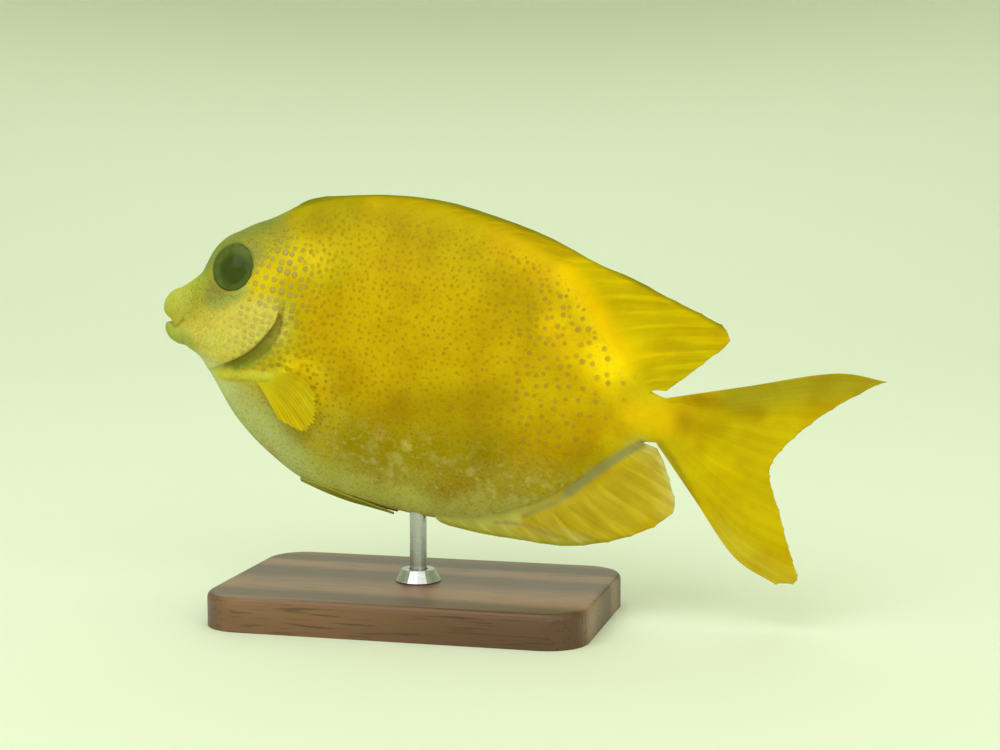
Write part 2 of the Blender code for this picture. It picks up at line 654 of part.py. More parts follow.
def build():
    """Every sub-part of the model, each its own object."""
    for obj in list(bpy.data.objects):
        bpy.data.objects.remove(obj)

    flesh = [head(), trunk(), tail()]
    fins = [
        fin("dorsal_fin_spiny",
            median_fin(SPINY_DORSAL, BACK_LINE, 1, True, DORSAL_SPINES, SPINY_ROWS),
            SPINY_DORSAL_SKIN),
        fin("dorsal_fin_soft",
            median_fin(SOFT_DORSAL, BACK_LINE, 1, False, DORSAL_RAYS, SOFT_ROWS), SOFT_FIN_SKIN),
        fin("anal_fin_spiny",
            median_fin(SPINY_ANAL, BELLY_LINE, -1, True, ANAL_SPINES, SPINY_ROWS),
            SPINY_ANAL_SKIN),
        fin("anal_fin_soft",
            median_fin(SOFT_ANAL, BELLY_LINE, -1, False, ANAL_RAYS, SOFT_ROWS), SOFT_FIN_SKIN),
        fin("caudal_fin_upper_lobe", caudal_fin(CAUDAL_UPPER), CAUDAL_SKIN),
        fin("caudal_fin_lower_lobe", caudal_fin(CAUDAL_LOWER), CAUDAL_SKIN),
    ]
    for side, word in ((-1, "left"), (1, "right")):
        fins.append(fin(f"pectoral_fin_{word}", pectoral_fin(side), PECTORAL_SKIN))
        fins.append(fin(f"pelvic_fin_{word}", pelvic_fin(side), PELVIC_SKIN))
    eyes = [eye_shape(f"eye_{word}", side, 0.0) for side, word in ((-1, "left"), (1, "right"))]

    for obj in flesh + fins + eyes:
        pose(obj)
    socket_top = BELLY_HEIGHT + ROD_SOCKET_DEPTH
    socket = tube("rod_socket", (0, 0, BELLY_HEIGHT - OVERCUT), (0, 0, socket_top), ROD_RADIUS + GAP)
    stand = [stand_base(), stand_rod(socket_top - ROD_TOP_CLEAR), stand_collar()]
    for obj in stand + [socket]:
        for vert in obj.data.vertices:
            vert.co *= MM
    combine(flesh[1], [socket], "DIFFERENCE")

    paint(flesh[0], "head_skin", HEAD_OLIVE, 0.45)
    for obj in flesh[1:]:
        paint(obj, f"{obj.name}_skin", BODY_YELLOW, 0.45)
    for obj in fins:
        paint(obj, f"{obj.name}_membrane", FIN_YELLOW, 0.5)
    for obj in eyes:
        paint(obj, f"{obj.name}_glass", EYE_DARK, 0.08)
    paint(stand[0], "base_walnut", WALNUT, 0.4)
    paint(stand[1], "rod_steel", STEEL, 0.3, 1.0)
    paint(stand[2], "collar_steel", STEEL, 0.3, 1.0)


build()
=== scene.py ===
"""Blue-spotted spinefoot on its display stand: the finish of every surface.

The fish's own frame is in millimetres: x runs from the tip of the snout to the tail, y to the
fish's right side, z up from the level of the mouth. Pose puts it over the stand, in the metres
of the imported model's frame.
"""
import logging
import math
from dataclasses import dataclass
from enum import Enum
from typing import Callable, Sequence

import bmesh
import bpy
import numpy as np
from bpy.types import Material, Mesh, Node, NodeSocket, NodeTree, Object
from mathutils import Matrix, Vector


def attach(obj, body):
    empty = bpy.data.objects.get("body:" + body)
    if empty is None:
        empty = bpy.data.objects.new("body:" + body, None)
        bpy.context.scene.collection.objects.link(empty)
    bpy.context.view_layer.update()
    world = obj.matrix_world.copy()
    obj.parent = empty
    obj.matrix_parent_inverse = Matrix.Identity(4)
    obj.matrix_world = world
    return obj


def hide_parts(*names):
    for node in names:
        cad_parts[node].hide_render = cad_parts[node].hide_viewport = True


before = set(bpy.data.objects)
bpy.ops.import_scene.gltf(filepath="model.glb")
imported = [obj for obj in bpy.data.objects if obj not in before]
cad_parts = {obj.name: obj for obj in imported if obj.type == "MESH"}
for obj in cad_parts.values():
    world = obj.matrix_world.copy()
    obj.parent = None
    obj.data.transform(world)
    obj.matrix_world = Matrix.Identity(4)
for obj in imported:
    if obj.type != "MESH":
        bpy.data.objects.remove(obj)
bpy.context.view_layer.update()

MM = 0.001
SEED = 7
EYE_PLACE = (25.4, 25.0)
# How far smoothing moves a point towards its neighbours and then back, so that nothing shrinks
IN_AND_BACK = (0.5, -0.52)
# Settings of a Mix node that lays a colour over another, or multiplies it into it
OVER = {"data_type": "RGBA"}
TINT = {"data_type": "RGBA", "blend_type": "MULTIPLY"}
# Settings of a Math or Vector Math node
TIMES = {"operation": "MULTIPLY"}
MINUS = {"operation": "SUBTRACT"}

Array = np.ndarray
Pair = tuple[float, float]
Triple = tuple[float, float, float]
Line = Sequence[tuple[float, ...]]
Field = Callable[[Array, Array], Array]

log = logging.getLogger("spinefoot")


class Side(Enum):
    """A side of the fish, its value the sign of y there."""

    LEFT = -1
    RIGHT = 1

    @property
    def word(self) -> str:
        """The side's name in a piece's name."""
        return self.name.lower()


class Cut(Enum):
    """What a Boolean does with its second solid."""

    JOIN = "UNION"
    REMOVE = "DIFFERENCE"
    KEEP_SHARED = "INTERSECT"


def linear(colour: str) -> Array:
    """An sRGB hex colour as linear red, green and blue.

    Args:
        colour: A colour such as "#d0ae08".

    Returns:
        Three linear values from 0 to 1.
    """
    channels = np.array([int(colour[i:i + 2], 16) / 255 for i in (1, 3, 5)])
    return np.where(channels <= 0.04045, channels / 12.92, ((channels + 0.055) / 1.055) ** 2.4)


def rgba(colour: str) -> tuple[float, ...]:
    """An sRGB hex colour as a linear socket value."""
    return (*linear(colour), 1.0)


def smoothstep(value: Array, low: float, high: float) -> Array:
    """0 below low, 1 above high and a smooth rise between, or the reverse when high < low."""
    t = np.clip((value - low) / (high - low), 0.0, 1.0)
    return t * t * (3 - 2 * t)


def smooth_curve(points: Line, x: Array | float) -> Array:
    """Height of a smooth line through points at x, with no overshoot between them.

    Args:
        points: Pairs of place and height, in rising order of place.
        x: Where the height is wanted.

    Returns:
        The heights, one for each place.
    """
    px, pz = np.array(points, dtype=float).T
    step = np.diff(px)
    slope = np.diff(pz) / step
    tangent = np.empty_like(px)
    tangent[0], tangent[-1] = slope[0], slope[-1]
    before, after = slope[:-1], slope[1:]
    same_way = before * after > 0
    weight_a = 2 * step[1:] + step[:-1]
    weight_b = step[1:] + 2 * step[:-1]
    safe_before = np.where(same_way, before, 1.0)
    safe_after = np.where(same_way, after, 1.0)
    mean = (weight_a + weight_b) / (weight_a / safe_before + weight_b / safe_after)
    tangent[1:-1] = np.where(same_way, mean, 0.0)
    x = np.clip(x, px[0], px[-1])
    i = np.clip(np.searchsorted(px, x) - 1, 0, len(step) - 1)
    t = (x - px[i]) / step[i]
    return ((2 * t**3 - 3 * t**2 + 1) * pz[i] + (t**3 - 2 * t**2 + t) * step[i] * tangent[i]
            + (3 * t**2 - 2 * t**3) * pz[i + 1] + (t**3 - t**2) * step[i] * tangent[i + 1])


def through(points: Sequence, count: int, at: Sequence[float] | None = None) -> Array:
    """Points evenly spread on a Catmull-Rom curve.

    Args:
        points: The points that the curve passes, each of any number of values.
        count: How many points are wanted.
        at: The points' own numbers, over which the new ones are spread, where these are uneven.

    Returns:
        An array of count rows.
    """
    p = np.array(points, dtype=float)
    p = np.concatenate([2 * p[:1] - p[1:2], p, 2 * p[-1:] - p[-2:-1]])
    s = np.linspace(0, len(points) - 1, count)
    if at is not None:
        s = np.interp(np.linspace(at[0], at[-1], count), at, np.arange(len(points)))
    i = np.minimum(s.astype(int), len(points) - 2)
    t = (s - i).reshape((-1,) + (1,) * (p.ndim - 1))
    a, b, c, d = p[i], p[i + 1], p[i + 2], p[i + 3]
    return 0.5 * (2 * b + (c - a) * t + (2 * a - 5 * b + 4 * c - d) * t**2
                  + (3 * b - a - 3 * c + d) * t**3)


@dataclass(frozen=True)
class Trace:
    """A smooth line drawn on the fish's side, as x, z points in millimetres."""

    points: Line
    samples: int = 28

    def line(self) -> Array:
        """The line's sample points."""
        return through(self.points, self.samples)

    def distance(self, x: Array, z: Array) -> Array:
        """How far places on the side are from the line.

        Args:
            x: Places along the fish.
            z: Heights.

        Returns:
            Distances in millimetres.
        """
        line = self.line()
        nearest = np.full(np.shape(x), np.inf)
        for (ax, az), (bx, bz) in zip(line, line[1:]):
            dx, dz = bx - ax, bz - az
            span = max(dx * dx + dz * dz, 1e-9)
            t = np.clip(((x - ax) * dx + (z - az) * dz) / span, 0.0, 1.0)
            nearest = np.minimum(nearest, np.hypot(x - ax - t * dx, z - az - t * dz))
        return nearest

    def behind(self, x: Array, z: Array) -> Array:
        """Distance from a line drawn from top to bottom, above 0 on its tail side."""
        line = self.line()[::-1]
        return self.distance(x, z) * np.where(x > np.interp(z, line[:, 1], line[:, 0]), 1, -1)


@dataclass(frozen=True)
class BodyForm:
    """The plain body: its outline, half width and the shape of its sections."""

    back: Line = ((0.8, 5.2), (1.6, 9.0), (4.6, 12.4), (9.6, 17.2), (12.2, 20.6), (15.2, 29.2),
                  (19.0, 34.2), (23.0, 37.0), (28.0, 40.5), (34.0, 43.9), (39.0, 47.5), (43.0, 50.4),
                  (48.0, 52.6), (60.0, 56.2), (90.0, 59.4), (118.0, 56.6), (134.0, 52.0),
                  (145.0, 44.2), (161.0, 27.2), (169.0, 18.8), (176.5, 14.2), (183.0, 12.9),
                  (191.0, 14.6), (198.0, 15.6))
    belly: Line = ((0.8, 5.2), (1.6, 1.0), (4.7, -5.4), (10.0, -7.9), (16.0, -10.4), (22.0, -16.0),
                   (34.5, -29.3), (48.0, -38.3), (64.0, -45.0), (84.0, -47.5), (105.0, -47.2),
                   (122.0, -45.3), (146.0, -34.6), (160.6, -21.8), (168.5, -12.0), (175.5, -4.9),
                   (183.0, -3.0), (191.0, -6.4), (198.0, -8.6))
    width: Line = ((0.8, 0.0), (1.6, 2.6), (5.0, 4.6), (10.0, 6.6), (18.0, 9.3), (28.0, 11.9),
                   (42.0, 14.2), (62.0, 15.8), (84.0, 15.9), (106.0, 14.2), (128.0, 10.8),
                   (150.0, 6.6), (168.0, 3.9), (183.0, 2.4), (190.0, 1.7), (198.0, 0.2))
    widest: Line = ((0.8, 5.2), (6.0, 3.0), (20.0, 5.5), (45.0, 6.5), (90.0, 3.5), (130.0, 3.0),
                    (160.0, 4.5), (183.0, 5.0))
    back_pinch: Line = ((0.8, 1.0), (15.0, 0.85), (36.0, 0.95), (60.0, 1.4), (90.0, 1.65),
                        (140.0, 1.5), (183.0, 1.2))
    belly_pinch: Line = ((0.8, 1.0), (30.0, 1.05), (60.0, 0.95), (183.0, 1.0))

    def half_width(self, x: Array, z: Array) -> Array:
        """Half width of the plain body.

        Args:
            x: Places along the fish.
            z: Heights.

        Returns:
            Half widths in millimetres, 0 at the outline.
        """
        middle = smooth_curve(self.widest, x)
        upper = z > middle
        edge = np.where(upper, smooth_curve(self.back, x), smooth_curve(self.belly, x))
        pinch = np.where(upper, smooth_curve(self.back_pinch, x), smooth_curve(self.belly_pinch, x))
        share = np.clip(np.abs((z - middle) / (edge - middle)), 0.0, 0.9999)
        return smooth_curve(self.width, x) * (1 - share**2) ** (pinch / 2)

    def belly_height(self, x: float, y: float) -> float:
        """Height of the underside.

        Args:
            x: Place along the fish.
            y: Place across it.

        Returns:
            The height in millimetres.
        """
        middle = float(smooth_curve(self.widest, x))
        depth = middle - float(smooth_curve(self.belly, x))
        share = min(0.999, abs(y) / float(smooth_curve(self.width, x)))
        pinch = float(smooth_curve(self.belly_pinch, x))
        return middle - depth * math.sqrt(1 - share ** (2 / pinch))

    def loft(self, xs: Sequence[float], flank_steps: int, swell: Field) -> "Solid":
        """A closed body through sections of the form.

        Args:
            xs: Where the sections stand.
            flank_steps: Faces from the back to the belly on each side.
            swell: How far the surface stands out of the plain body at x, z.

        Returns:
            The body's points and faces.
        """
        x = np.asarray(xs, dtype=float)[:, None]
        s = np.cos(np.pi * np.arange(flank_steps + 1) / flank_steps)[None, :]
        middle = smooth_curve(self.widest, x)
        upper = s > 0
        z = middle + s * np.where(upper, smooth_curve(self.back, x) - middle,
                                  middle - smooth_curve(self.belly, x))
        reach = np.clip(1 - s * s, 0.0, 1.0)
        pinch = np.where(upper, smooth_curve(self.back_pinch, x), smooth_curve(self.belly_pinch, x))
        x = np.broadcast_to(x, z.shape)
        y = smooth_curve(self.width, x) * reach ** (pinch / 2) + swell(x, z) * np.sqrt(reach)
        y[:, 0] = y[:, -1] = 0.0
        left = np.stack([x, -y, z], axis=2)
        right = np.stack([x, y, z], axis=2)[:, -2:0:-1]
        rings = np.concatenate([left, right], axis=1)
        return Solid.from_rings(rings)


@dataclass
class Solid:
    """A closed mesh under construction, in millimetres."""

    points: Array
    faces: list[tuple[int, ...]]

    @classmethod
    def from_rings(cls, rings: Array) -> "Solid":
        """A tube through rings of points, closed by a flat face at each end.

        Args:
            rings: Rings of points, all of one count.

        Returns:
            The closed tube.
        """
        count, size = rings.shape[:2]
        faces = []
        for r in range(count - 1):
            a, b = r * size, (r + 1) * size
            faces += [(a + i, a + (i + 1) % size, b + (i + 1) % size, b + i) for i in range(size)]
        faces += [tuple(range(size)), tuple((count - 1) * size + i for i in range(size))]
        return cls(rings.reshape(-1, 3), faces)

    @classmethod
    def prism(cls, outline: Array, half_width: float) -> "Solid":
        """A prism across the fish.

        Args:
            outline: Its x, z points.
            half_width: Its reach to each side of the middle.

        Returns:
            The prism.
        """
        side = np.insert(np.asarray(outline, dtype=float), 1, 0.0, axis=1)
        offset = np.array([0.0, half_width, 0.0])
        return cls.from_rings(np.stack([side - offset, side + offset]))

    @classmethod
    def tube(cls, line: Array, radii: Sequence[float], sides: int = 16) -> "Solid":
        """A round bar along a line.

        Args:
            line: The line's points.
            radii: The radius at each.
            sides: Faces round it.

        Returns:
            The bar.
        """
        line = np.asarray(line, dtype=float)
        rings = []
        for place, along, radius in zip(line, np.gradient(line, axis=0), radii):
            turn = Vector(along).to_track_quat("Z", "Y").to_matrix()
            angle = 2 * np.pi * np.arange(sides) / sides
            flat = np.stack([np.cos(angle), np.sin(angle), 0 * angle], axis=1) * radius
            rings.append(place + flat @ np.array(turn).T)
        return cls.from_rings(np.array(rings))

    @classmethod
    def ellipsoid(cls, centre: Sequence[float], radii: Sequence[float], steps: int = 32,
                  axis: Sequence[float] | None = None) -> "Solid":
        """An ellipsoid.

        Args:
            centre: Its middle.
            radii: Its three radii.
            steps: Rings of faces.
            axis: Where its third radius points, if not up.

        Returns:
            The ellipsoid.
        """
        bm = bmesh.new()
        bmesh.ops.create_uvsphere(bm, u_segments=2 * steps, v_segments=steps, radius=1.0)
        points = np.array([v.co for v in bm.verts]) * radii
        faces = [tuple(v.index for v in f.verts) for f in bm.faces]
        bm.free()
        if axis is not None:
            points = points @ np.array(Vector(axis).to_track_quat("Z", "Y").to_matrix()).T
        return cls(points + centre, faces)

    def to_object(self, name: str) -> Object:
        """A scene object of the solid, its faces pointing out.

        Args:
            name: The object's name.

        Returns:
            The object.
        """
        mesh = bpy.data.meshes.new(name)
        mesh.from_pydata(self.points.tolist(), [], self.faces)
        bm = bmesh.new()
        bm.from_mesh(mesh)
        bm.normal_update()
        bmesh.ops.recalc_face_normals(bm, faces=bm.faces)
        bm.to_mesh(mesh)
        bm.free()
        obj = bpy.data.objects.new(name, mesh)
        bpy.context.scene.collection.objects.link(obj)
        return obj


def apply_modifiers(obj: Object) -> None:
    """Make an object's modifiers part of its mesh.

    Args:
        obj: The object.
    """
    depsgraph = bpy.context.evaluated_depsgraph_get()
    mesh = bpy.data.meshes.new_from_object(obj.evaluated_get(depsgraph))
    obj.modifiers.clear()
    obj.data = mesh


def combine(obj: Object, others: list[Object], cut: Cut) -> Object:
    """Join other solids to one, or cut it with them, and remove them.

    Args:
        obj: The solid that changes.
        others: The other solids.
        cut: What is done with them.

    Returns:
        The changed solid.
    """
    for other in others:
        boolean = obj.modifiers.new("cut", "BOOLEAN")
        boolean.operation = cut.value
        boolean.object = other
        boolean.solver = "MANIFOLD"
        apply_modifiers(obj)
        bpy.data.objects.remove(other)
    return obj


@dataclass(frozen=True)
class Pose:
    """How the fish hangs over its stand, nose up and its tail swung a little to one side."""

    nose_up: float = math.radians(11.5)
    bend_start: float = 120.0
    bend_radius: float = 1500.0
    rod_x: float = 106.0
    tail_clearance: float = 16.0
    lowest_tail_point: Pair = (238.8, -40.2)

    @property
    def shift_x(self) -> float:
        """How far the world's origin lies behind the snout."""
        belly = float(smooth_curve(BodyForm().belly, self.rod_x))
        return self.rod_x * math.cos(self.nose_up) + belly * math.sin(self.nose_up)

    @property
    def lift(self) -> float:
        """Height of the snout's tip over the floor."""
        x, z = self.lowest_tail_point
        return self.tail_clearance + x * math.sin(self.nose_up) - z * math.cos(self.nose_up)

    def world(self, points: Array) -> Array:
        """Put points of the fish's frame in the world.

        Args:
            points: Places in millimetres.

        Returns:
            The places in metres.
        """
        x, y, z = points.T
        y = y + np.maximum(0.0, x - self.bend_start) ** 2 / (2 * self.bend_radius)
        tilt_cos, tilt_sin = math.cos(self.nose_up), math.sin(self.nose_up)
        world_x = x * tilt_cos + z * tilt_sin - self.shift_x
        world_z = z * tilt_cos - x * tilt_sin + self.lift
        return np.stack([world_x, y, world_z], axis=1) * MM


def add_node(tree: NodeTree, kind: str, settings: dict | None = None,
             sockets: dict | None = None) -> Node:
    """Add a shader node with its settings and links.

    Args:
        tree: The material's node tree.
        kind: The node's type, without its ShaderNode prefix.
        settings: The node's properties by name.
        sockets: Input values, or outputs to link to them, by input name or number.

    Returns:
        The new node.
    """
    node = tree.nodes.new(f"ShaderNode{kind}")
    for name, value in (settings or {}).items():
        setattr(node, name, value)
    for name, value in (sockets or {}).items():
        if isinstance(value, NodeSocket):
            tree.links.new(value, node.inputs[name])
        else:
            node.inputs[name].default_value = value
    return node


def new_material(name: str) -> tuple[Material, NodeTree, Node]:
    """Make an empty material.

    Args:
        name: The material's name.

    Returns:
        The material, its node tree and its Principled shader.
    """
    material = bpy.data.materials.new(name)
    material.use_nodes = True
    tree = material.node_tree
    return material, tree, tree.nodes["Principled BSDF"]


def set_sockets(shader: Node, **values: float | tuple) -> None:
    """Set a shader's own sockets, underscores standing for spaces in their names."""
    for name, value in values.items():
        shader.inputs[name.replace("_", " ").title().replace("Ior", "IOR")].default_value = value


@dataclass(frozen=True)
class Stroke:
    """One soft band of colour along a line on the fish's side.

    It is at its full strength up to the core, a share of its reach, and gone beyond its reach.
    """

    colour: str
    line: Line
    reach: float
    strength: float = 1.0
    core: float = 0.0
    samples: int = 14

    def over(self, ground: Array, x: Array, z: Array) -> Array:
        """Lay the band over a ground colour.

        Args:
            ground: One linear colour for each place.
            x: Places along the fish.
            z: Heights.

        Returns:
            The new colours.
        """
        distance = Trace(self.line, self.samples).distance(x, z)
        share = self.strength * smoothstep(distance, self.reach, self.core * self.reach)
        return ground + (linear(self.colour) - ground) * share[:, None]


@dataclass(frozen=True)
class Livery:
    """The colours of the fish, laid on in soft bands over one ground colour.

    The bands were drawn and their colours fitted to the photograph, one for each band.
    Later bands lie over earlier ones. Some bands are painted shade or painted light, as their comments
    say.
    """

    ground: str = "#c3a202"
    bands: tuple[Stroke, ...] = (
        # Back, low flank, belly and throat; low on the body the colours are partly painted shade
        Stroke("#b39f01", ((30, 50), (60, 52), (100, 52), (130, 46)), 18, 0.7),
        # Darker low on the flank: partly the fish's own tone, partly painted shade under the body
        Stroke("#8d8007", ((56, -22), (90, -26), (124, -20)), 24, 0.75, 0.1),
        Stroke("#b5c064", ((30, -30), (60, -48), (100, -52), (146, -40)), 27, 0.95, 0.1),
        Stroke("#cfcb68", ((34, -36), (60, -50), (100, -54), (140, -44)), 16, 0.9),
        Stroke("#b7bb75", ((10, -14), (26, -22), (42, -32), (54, -42)), 19, 0.95, 0.25),
        Stroke("#c5ca89", ((8, -9), (18, -12), (30, -17)), 9, 0.8),
        # Darker low at the rear: partly the fish's own tone, partly painted shade under the body
        Stroke("#9b8101", ((118, -32), (140, -28), (158, -16)), 15, 0.7),
        # Nape, the bright patch behind the eye and the reddish brow
        Stroke("#a59804", ((28, 44), (44, 50), (56, 53)), 15, 0.9, 0.15),
        Stroke("#b6a905", ((36, 16), (40, 24), (50, 31), (62, 32)), 14, 0.7),
        Stroke("#b0af1b", ((50, 16), (53, 6), (50, -2), (44, -8)), 8, 0.6),
        Stroke("#dcbf17", ((36, 17), (39, 24), (45, 31), (56, 34)), 11, 0.85),
        Stroke("#7f3f31", ((29, 35), (34, 38), (40, 40)), 5, 0.5),
        # Forehead, cheek, dusky bar through the eye, lips
        Stroke("#7b8d45", ((6, 14), (14, 24), (24, 37), (34, 44)), 10, 0.9, 0.2),
        Stroke("#b8c64e", ((2, 10), (10, 12), (16, 8)), 13, 0.8, 0.2),
        Stroke("#d4c75d", ((15, 2), (24, 4), (34, 7), (43, 9)), 12, 0.9, 0.35),
        Stroke("#c8c55b", ((22, -3), (32, -3), (40, 3)), 8, 0.7, 0.2),
        Stroke("#a59f2b", ((40, 38), (33, 33), (25, 23), (17, 12), (12, 7)), 10, 0.75),
        Stroke("#878749", ((32, 31), (26, 22), (20, 14.5)), 7.5, 0.7, 0.2),
        Stroke("#9baa5e", ((22, 11), (28.5, 14.5), (32, 18.5)), 4.2, 0.75),
        Stroke("#b6b64c", ((1, 8), (5, 10), (8, 6)), 7, 0.95, 0.4),
        Stroke("#a7b24f", ((2, -3), (7, -6), (11, -6)), 6.5, 0.9, 0.3),
        # Middle and rear flank, the row under the dorsal fin and the line over the anal fin
        Stroke("#ae9001", ((122, 38), (130, 31), (134, 22)), 10, 0.6),
        Stroke("#c9a902", ((132, 16), (146, 6), (160, 4)), 14, 0.6),
        Stroke("#e7c101", ((143, 29), (152, 23.5), (160, 18.5), (167, 14)), 10.5, 0.85, 0.15),
        Stroke("#a58902", ((97, -7), (112, -3), (130, 1)), 9.5, 0.7, 0.1),
        Stroke("#d0ab01", ((118, 53), (132, 48.5), (145, 42), (156, 31.5), (167, 19), (174, 10)),
               12, 0.95, 0.1),
        Stroke("#fae402", ((172, 10), (178, 8.5), (186, 7)), 9, 0.85),
        Stroke("#a79603", ((146, -29), (158, -19), (170, -7.5), (182, -3.6)), 4.5, 0.75),
        # Root of the breast fin, painted shadow in the gap behind the gill cover, and painted light
        # on the flank by the fin, where the fin's shadow falls
        Stroke("#c8c33e", ((27, -13.3), (33, -12.6), (41, -11.0), (49, -9.6)), 3.4, 0.95, 0.35),
        # Painted shadow in the gap behind the gill cover
        Stroke("#668a28", ((33.5, -9.4), (38, -7.2), (42.5, -3.6), (45.5, 0)), 2.6, 0.8),
        Stroke("#c3af26", ((47, -6.5), (51, -5.2), (53.5, -6.5)), 2.4, 0.8),
        # Painted light: these two bands brighten the flank where the breast fin's shadow falls
        Stroke("#dbc328", ((66, -9), (71, -17), (70, -26)), 11.5, 0.6),
        Stroke("#f6d80e", ((56, -5), (62, -5.5), (66, -12)), 8, 0.7, 0.1),
        # Pale and dull flecks low on the flank
        Stroke("#b39543", ((90.5, -18), (92, -20)), 3.2, 0.5),
        Stroke("#d7c651", ((100, -21), (101.5, -22)), 2.0, 0.5),
        Stroke("#9a9945", ((86, -26), (88, -27.5)), 2.2, 0.4),
        # Dorsal fin and its root
        Stroke("#d2b701", ((156, 45), (176, 37), (190, 28)), 20, 1.0, 0.6),
        Stroke("#eabf01", ((141, 47.2), (149, 40.8), (160, 29), (171, 16)), 7, 0.9, 0.1),
        Stroke("#fddf02", ((158, 23), (165, 17), (171, 13), (176, 11)), 8, 0.9, 0.1),
        Stroke("#9a780c", ((171.2, 17.4), (175.2, 14.9)), 1.3, 0.7),
        Stroke("#bc9d02", ((104, 60), (122, 57), (140, 54.5)), 4.5, 0.7),
        # Tail and anal fins
        Stroke("#c7af05", ((192, 4), (206, 0), (220, -6)), 34, 1.0, 0.6),
        Stroke("#c7ae29", ((152, -44), (170, -32), (184, -16)), 13, 1.0, 0.6),
        Stroke("#bfbb51", ((112, -50), (130, -50), (150, -46), (166, -43)), 6, 0.85, 0.2),
        Stroke("#ccb94d", ((177, -5.5), (184, -9), (190, -18), (191, -25)), 6.5, 0.8, 0.1),
        Stroke("#cec785", ((179, -4.8), (184, -6.8), (189.5, -14), (193.5, -23)), 2.0, 0.7),
        # Streaks of the anal fin, the dark ones painted shadows of its rays, and the grey cord along its
        # root
        # Painted shadows along the anal fin's rays
        Stroke("#a09132", ((146, -38.5), (155, -42), (164, -43.6)), 0.9, 0.6),
        Stroke("#a99c28", ((152, -34), (162, -39.2), (173, -41)), 1.0, 0.6),
        Stroke("#a4991e", ((158, -31.6), (169, -35.6), (179, -38)), 0.9, 0.5),
        Stroke("#9f7a6f", ((134, -43), (144, -41.5), (156, -43)), 1.2, 0.5),
        Stroke("#bfa672", ((150, -37.5), (160, -40.6), (168, -42.4)), 1.0, 0.5),
        Stroke("#a99a51", ((143.5, -38.5), (148, -34.8), (153.5, -31), (158, -26)), 1.6, 0.85, 0.2),
        Stroke("#8f8c58", ((157, -26.5), (163, -19.5), (170, -11.8), (175, -6.8), (178, -4.6)),
               2.7, 0.9, 0.2),
        # Tail root, the flank and dorsal fin just before it, and the tail fin's lobes, with painted
        # shade at the upper lobe's base
        Stroke("#94820b", ((184, -3.2), (188.4, -6.4), (194, -12.6), (200, -20)), 2.4, 0.8),
        # Painted shade at the base of the tail fin's upper lobe
        Stroke("#a38501", ((190, 13.5), (198, 14.8), (205, 15.3), (213, 15.5)), 6.5, 0.9),
        Stroke("#c7a401", ((188, 11), (194, 6), (199, 2)), 7, 0.75),
        Stroke("#c19b01", ((160, -3), (166, 0.5), (172, 0)), 7.5, 0.75),
        Stroke("#f1d202", ((170, 27), (178, 25)), 8, 0.6),
        Stroke("#a28302", ((189, 6), (196, 6), (203, 7)), 6, 0.6),
        Stroke("#dfc601", ((203, -6), (210, -9)), 7, 0.7),
        Stroke("#9f931d", ((206, 20), (225, 26), (252, 34)), 10, 0.85, 0.1),
        Stroke("#c6b733", ((210, -28), (224, -36), (240, -40)), 8, 0.6),
        Stroke("#f7cc01", ((174, 6), (184, 5)), 9, 0.6),
        # Dark edges of the dorsal and anal fins
        Stroke("#606f10", ((41.2, 49.5), (51.9, 55), (63.2, 58.9), (78.2, 61.4), (93.4, 62.3),
                           (107.3, 61.2), (130.3, 58.8), (152.8, 52.8), (179.3, 46.2), (198, 40.8)),
               2.2, 0.85),
        Stroke("#83921c", ((112, -48.2), (141.7, -47.6), (161.6, -44.6), (180.6, -37.4)), 1.8, 0.7),
    )

    def paint(self, points: Array) -> Array:
        """The fish's ground colour at points of its own frame.

        Args:
            points: Places in millimetres.

        Returns:
            One linear red, green, blue and alpha for each point.
        """
        x, z = points[:, 0], points[:, 2]
        colour = np.tile(linear(self.ground), (len(points), 1))
        for stroke in self.bands:
            colour = stroke.over(colour, x, z)
        return np.column_stack([colour, np.ones(len(points))])


def add_attribute(mesh: Mesh, name: str, values: Array) -> None:
    """Store one value, vector or colour for each of a mesh's points.

    Args:
        mesh: The mesh.
        name: The attribute's name.
        values: One number, or three or four, for each point.
    """
    width = 1 if values.ndim == 1 else values.shape[1]
    kind, field = {1: ("FLOAT", "value"), 3: ("FLOAT_VECTOR", "vector"),
                   4: ("FLOAT_COLOR", "color")}[width]
    attribute = mesh.attributes.new(name, kind, "POINT")
    attribute.data.foreach_set(field, np.ascontiguousarray(values, dtype=np.float32).ravel())


def mesh_points(mesh: Mesh) -> Array:
    """Read a mesh's points.

    Args:
        mesh: The mesh.

    Returns:
        One row of x, y, z for each point.
    """
    flat = np.empty(len(mesh.vertices) * 3, dtype=np.float32)
    mesh.vertices.foreach_get("co", flat)
    return flat.reshape(-1, 3).astype(float)


def set_mesh_points(mesh: Mesh, points: Array) -> None:
    """Move a mesh's points."""
    mesh.vertices.foreach_set("co", np.ascontiguousarray(points, dtype=np.float32).ravel())
    mesh.update()


def mesh_normals(mesh: Mesh) -> Array:
    """Normals at a mesh's points.

    Args:
        mesh: The mesh.

    Returns:
        One unit vector for each point.
    """
    flat = np.empty(len(mesh.vertices) * 3, dtype=np.float32)
    mesh.vertex_normals.foreach_get("vector", flat)
    return flat.reshape(-1, 3).astype(float)


